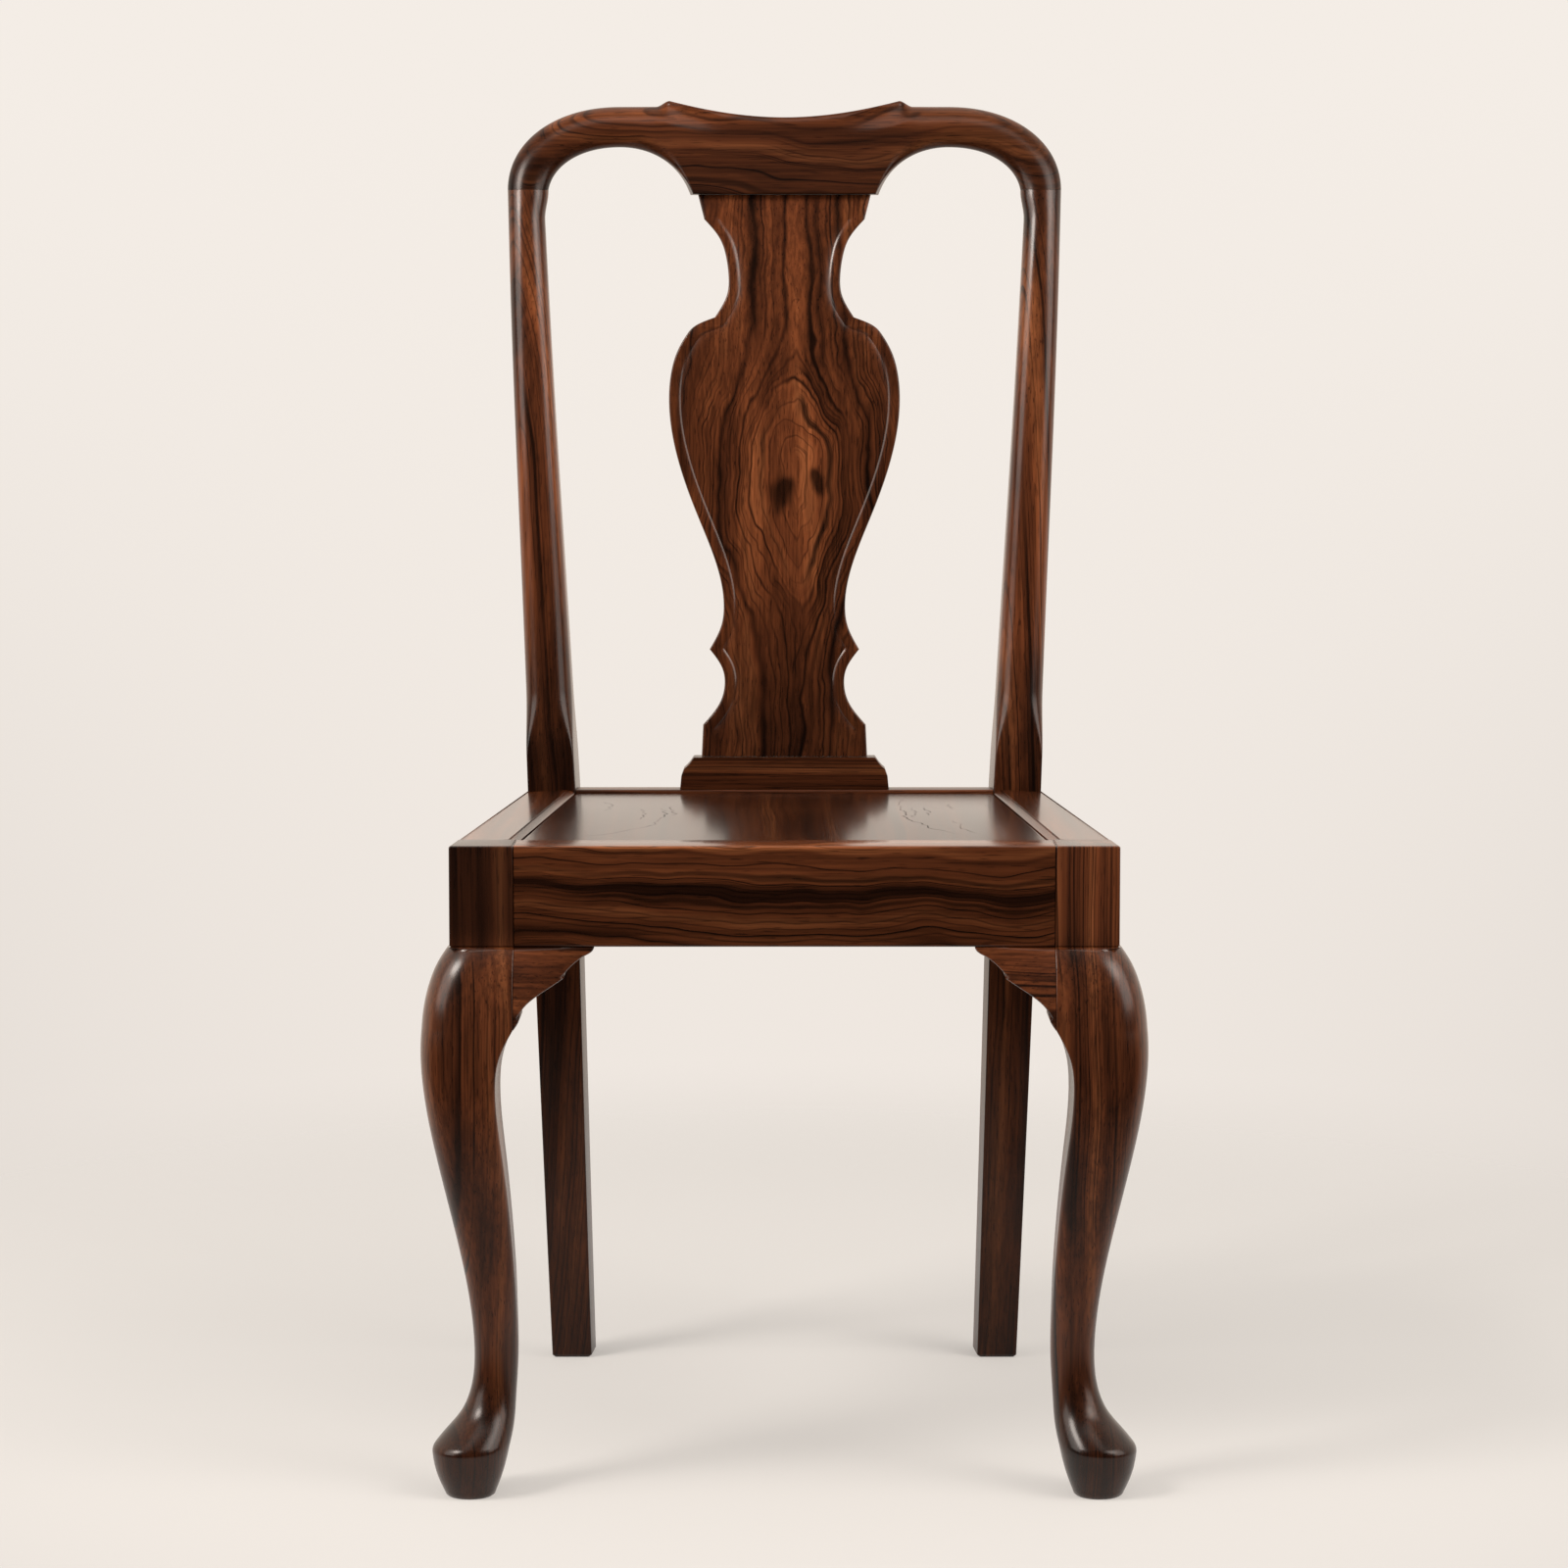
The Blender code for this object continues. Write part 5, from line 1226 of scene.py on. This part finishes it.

# Studio
# The pale backdrop is darker low down and toward the sides: painted shade
BACKDROP_HIGH = (0.905, 0.847, 0.791, 1)
BACKDROP_LOW = (0.86, 0.798, 0.742)
BACKDROP_RISE = (-0.2, 0.09)
BACKDROP_FALLOFF = 2.4
BACKDROP_DARKEST = 0.9
REFLECTED_BACKDROP = (0.86, 0.75, 0.65, 1)
ROOM_COLOUR = (0.01, 0.009, 0.008, 1)
ROOM_TO_BACKDROP = (-0.25, 0.35)
AMBIENT_COLOUR = (1, 0.94, 0.88, 1)
AMBIENT_LEVEL = 0.44
FLOOR_COLOUR = (0.44, 0.438, 0.432, 1)
FLOOR_GLOW = (0.88, 0.82, 0.76, 1)
FLOOR_GLOW_LEVEL = 0.42
FLOOR_RADIUS = 1.8
FLOOR_SEGMENTS = 96
FLOOR_SHIFT = 0.4
FLOOR_FADE = (0.55, 1.35)
# Softboxes: (name, place, size, power)
SOFTBOXES = [("front_left", (-2.5, -1.8, 3.2), (1.2, 1.1), 68),
             ("front_right", (2.3, -2, 3.2), (1.8, 1.7), 32),
             ("side_left", (-2.5, -1.2, 1.9), (1.8, 2.2), 33),
             ("side_right", (2.5, -1.2, 1.9), (1.8, 2.2), 34),
             ("overhead", (0, -1.1, 3.7), (2.4, 1), 12)]
SOFTBOX_TARGET = (0, 0, 0.45)
SOFTBOX_COLOUR = (1, 0.92, 0.85)


def seen_directly(nodes):
    """1 for rays from the camera and for those that gloss sends on, else 0."""
    rays = nodes.add("LightPath").node.outputs
    sent_on = nodes.math("MAXIMUM", rays["Is Glossy Ray"], rays["Is Transmission Ray"])
    return nodes.math("MAXIMUM", rays["Is Camera Ray"], sent_on)


def make_world():
    """Even light. The camera sees a pale backdrop, gloss one behind the chair and else a dark room."""
    world = bpy.data.worlds.new("studio")
    scene.world = world
    world.use_nodes = True
    tree = world.node_tree
    tree.nodes.clear()
    nodes = Nodes(tree)
    axes = nodes.add("SeparateXYZ", nodes.add("TexCoord", output="Generated")).node.outputs
    # Painted shade: the backdrop darkens below the horizon and toward the sides
    rise = nodes.range(axes["Z"], *BACKDROP_RISE, 0, 1)
    aside = nodes.times(nodes.times(axes["X"], axes["X"]), BACKDROP_FALLOFF)
    light = nodes.math("MAXIMUM", nodes.minus(1, aside), BACKDROP_DARKEST)
    pale = nodes.add("MixRGB", rise, nodes.scaled(BACKDROP_LOW, light), BACKDROP_HIGH)
    behind = nodes.range(axes["Y"], *ROOM_TO_BACKDROP, 0, 1)
    reflected = nodes.add("MixRGB", behind, ROOM_COLOUR, REFLECTED_BACKDROP)
    colour = nodes.add("MixRGB", nodes.add("LightPath", output="Is Camera Ray"), reflected, pale)
    backdrop = nodes.add("Background", colour, 1)
    ambient = nodes.add("Background", AMBIENT_COLOUR, AMBIENT_LEVEL)
    mixed = nodes.add("MixShader", seen_directly(nodes), ambient, backdrop)
    tree.links.new(mixed, tree.nodes.new("ShaderNodeOutputWorld").inputs[0])


def make_floor():
    """Pale floor whose rim fades into the backdrop."""
    form = bmesh.new()
    bmesh.ops.create_circle(form, cap_ends=True, segments=FLOOR_SEGMENTS, radius=FLOOR_RADIUS)
    floor = form_object("floor", form)
    floor.location.y = FLOOR_SHIFT
    material, nodes = new_material("pale_floor")
    tree = material.node_tree
    tree.nodes.clear()
    fade = nodes.range(nodes.length(nodes.add("TexCoord", output="Object")), *FLOOR_FADE, 0, 1)
    glow_level = nodes.times(seen_directly(nodes), FLOOR_GLOW_LEVEL)
    glow = nodes.add("Emission", FLOOR_GLOW, glow_level)
    lit = nodes.add("AddShader", nodes.add("BsdfDiffuse", FLOOR_COLOUR), glow)
    mixed = nodes.add("MixShader", fade, lit, nodes.add("BsdfTransparent"))
    tree.links.new(mixed, tree.nodes.new("ShaderNodeOutputMaterial").inputs[0])
    floor.data.materials.append(material)


def add_softbox(name, place, size, power):
    lamp = bpy.data.lights.new(name, "AREA")
    lamp.shape = "RECTANGLE"
    lamp.size, lamp.size_y = size
    lamp.energy = power
    lamp.color = SOFTBOX_COLOUR
    box = add_object(name, lamp)
    box.location = place
    box.rotation_euler = (Vector(SOFTBOX_TARGET) - Vector(place)).to_track_quat("-Z", "Y").to_euler()


scene.view_settings.view_transform = "Standard"
make_world()
make_floor()
for softbox in SOFTBOXES:
    add_softbox(*softbox)
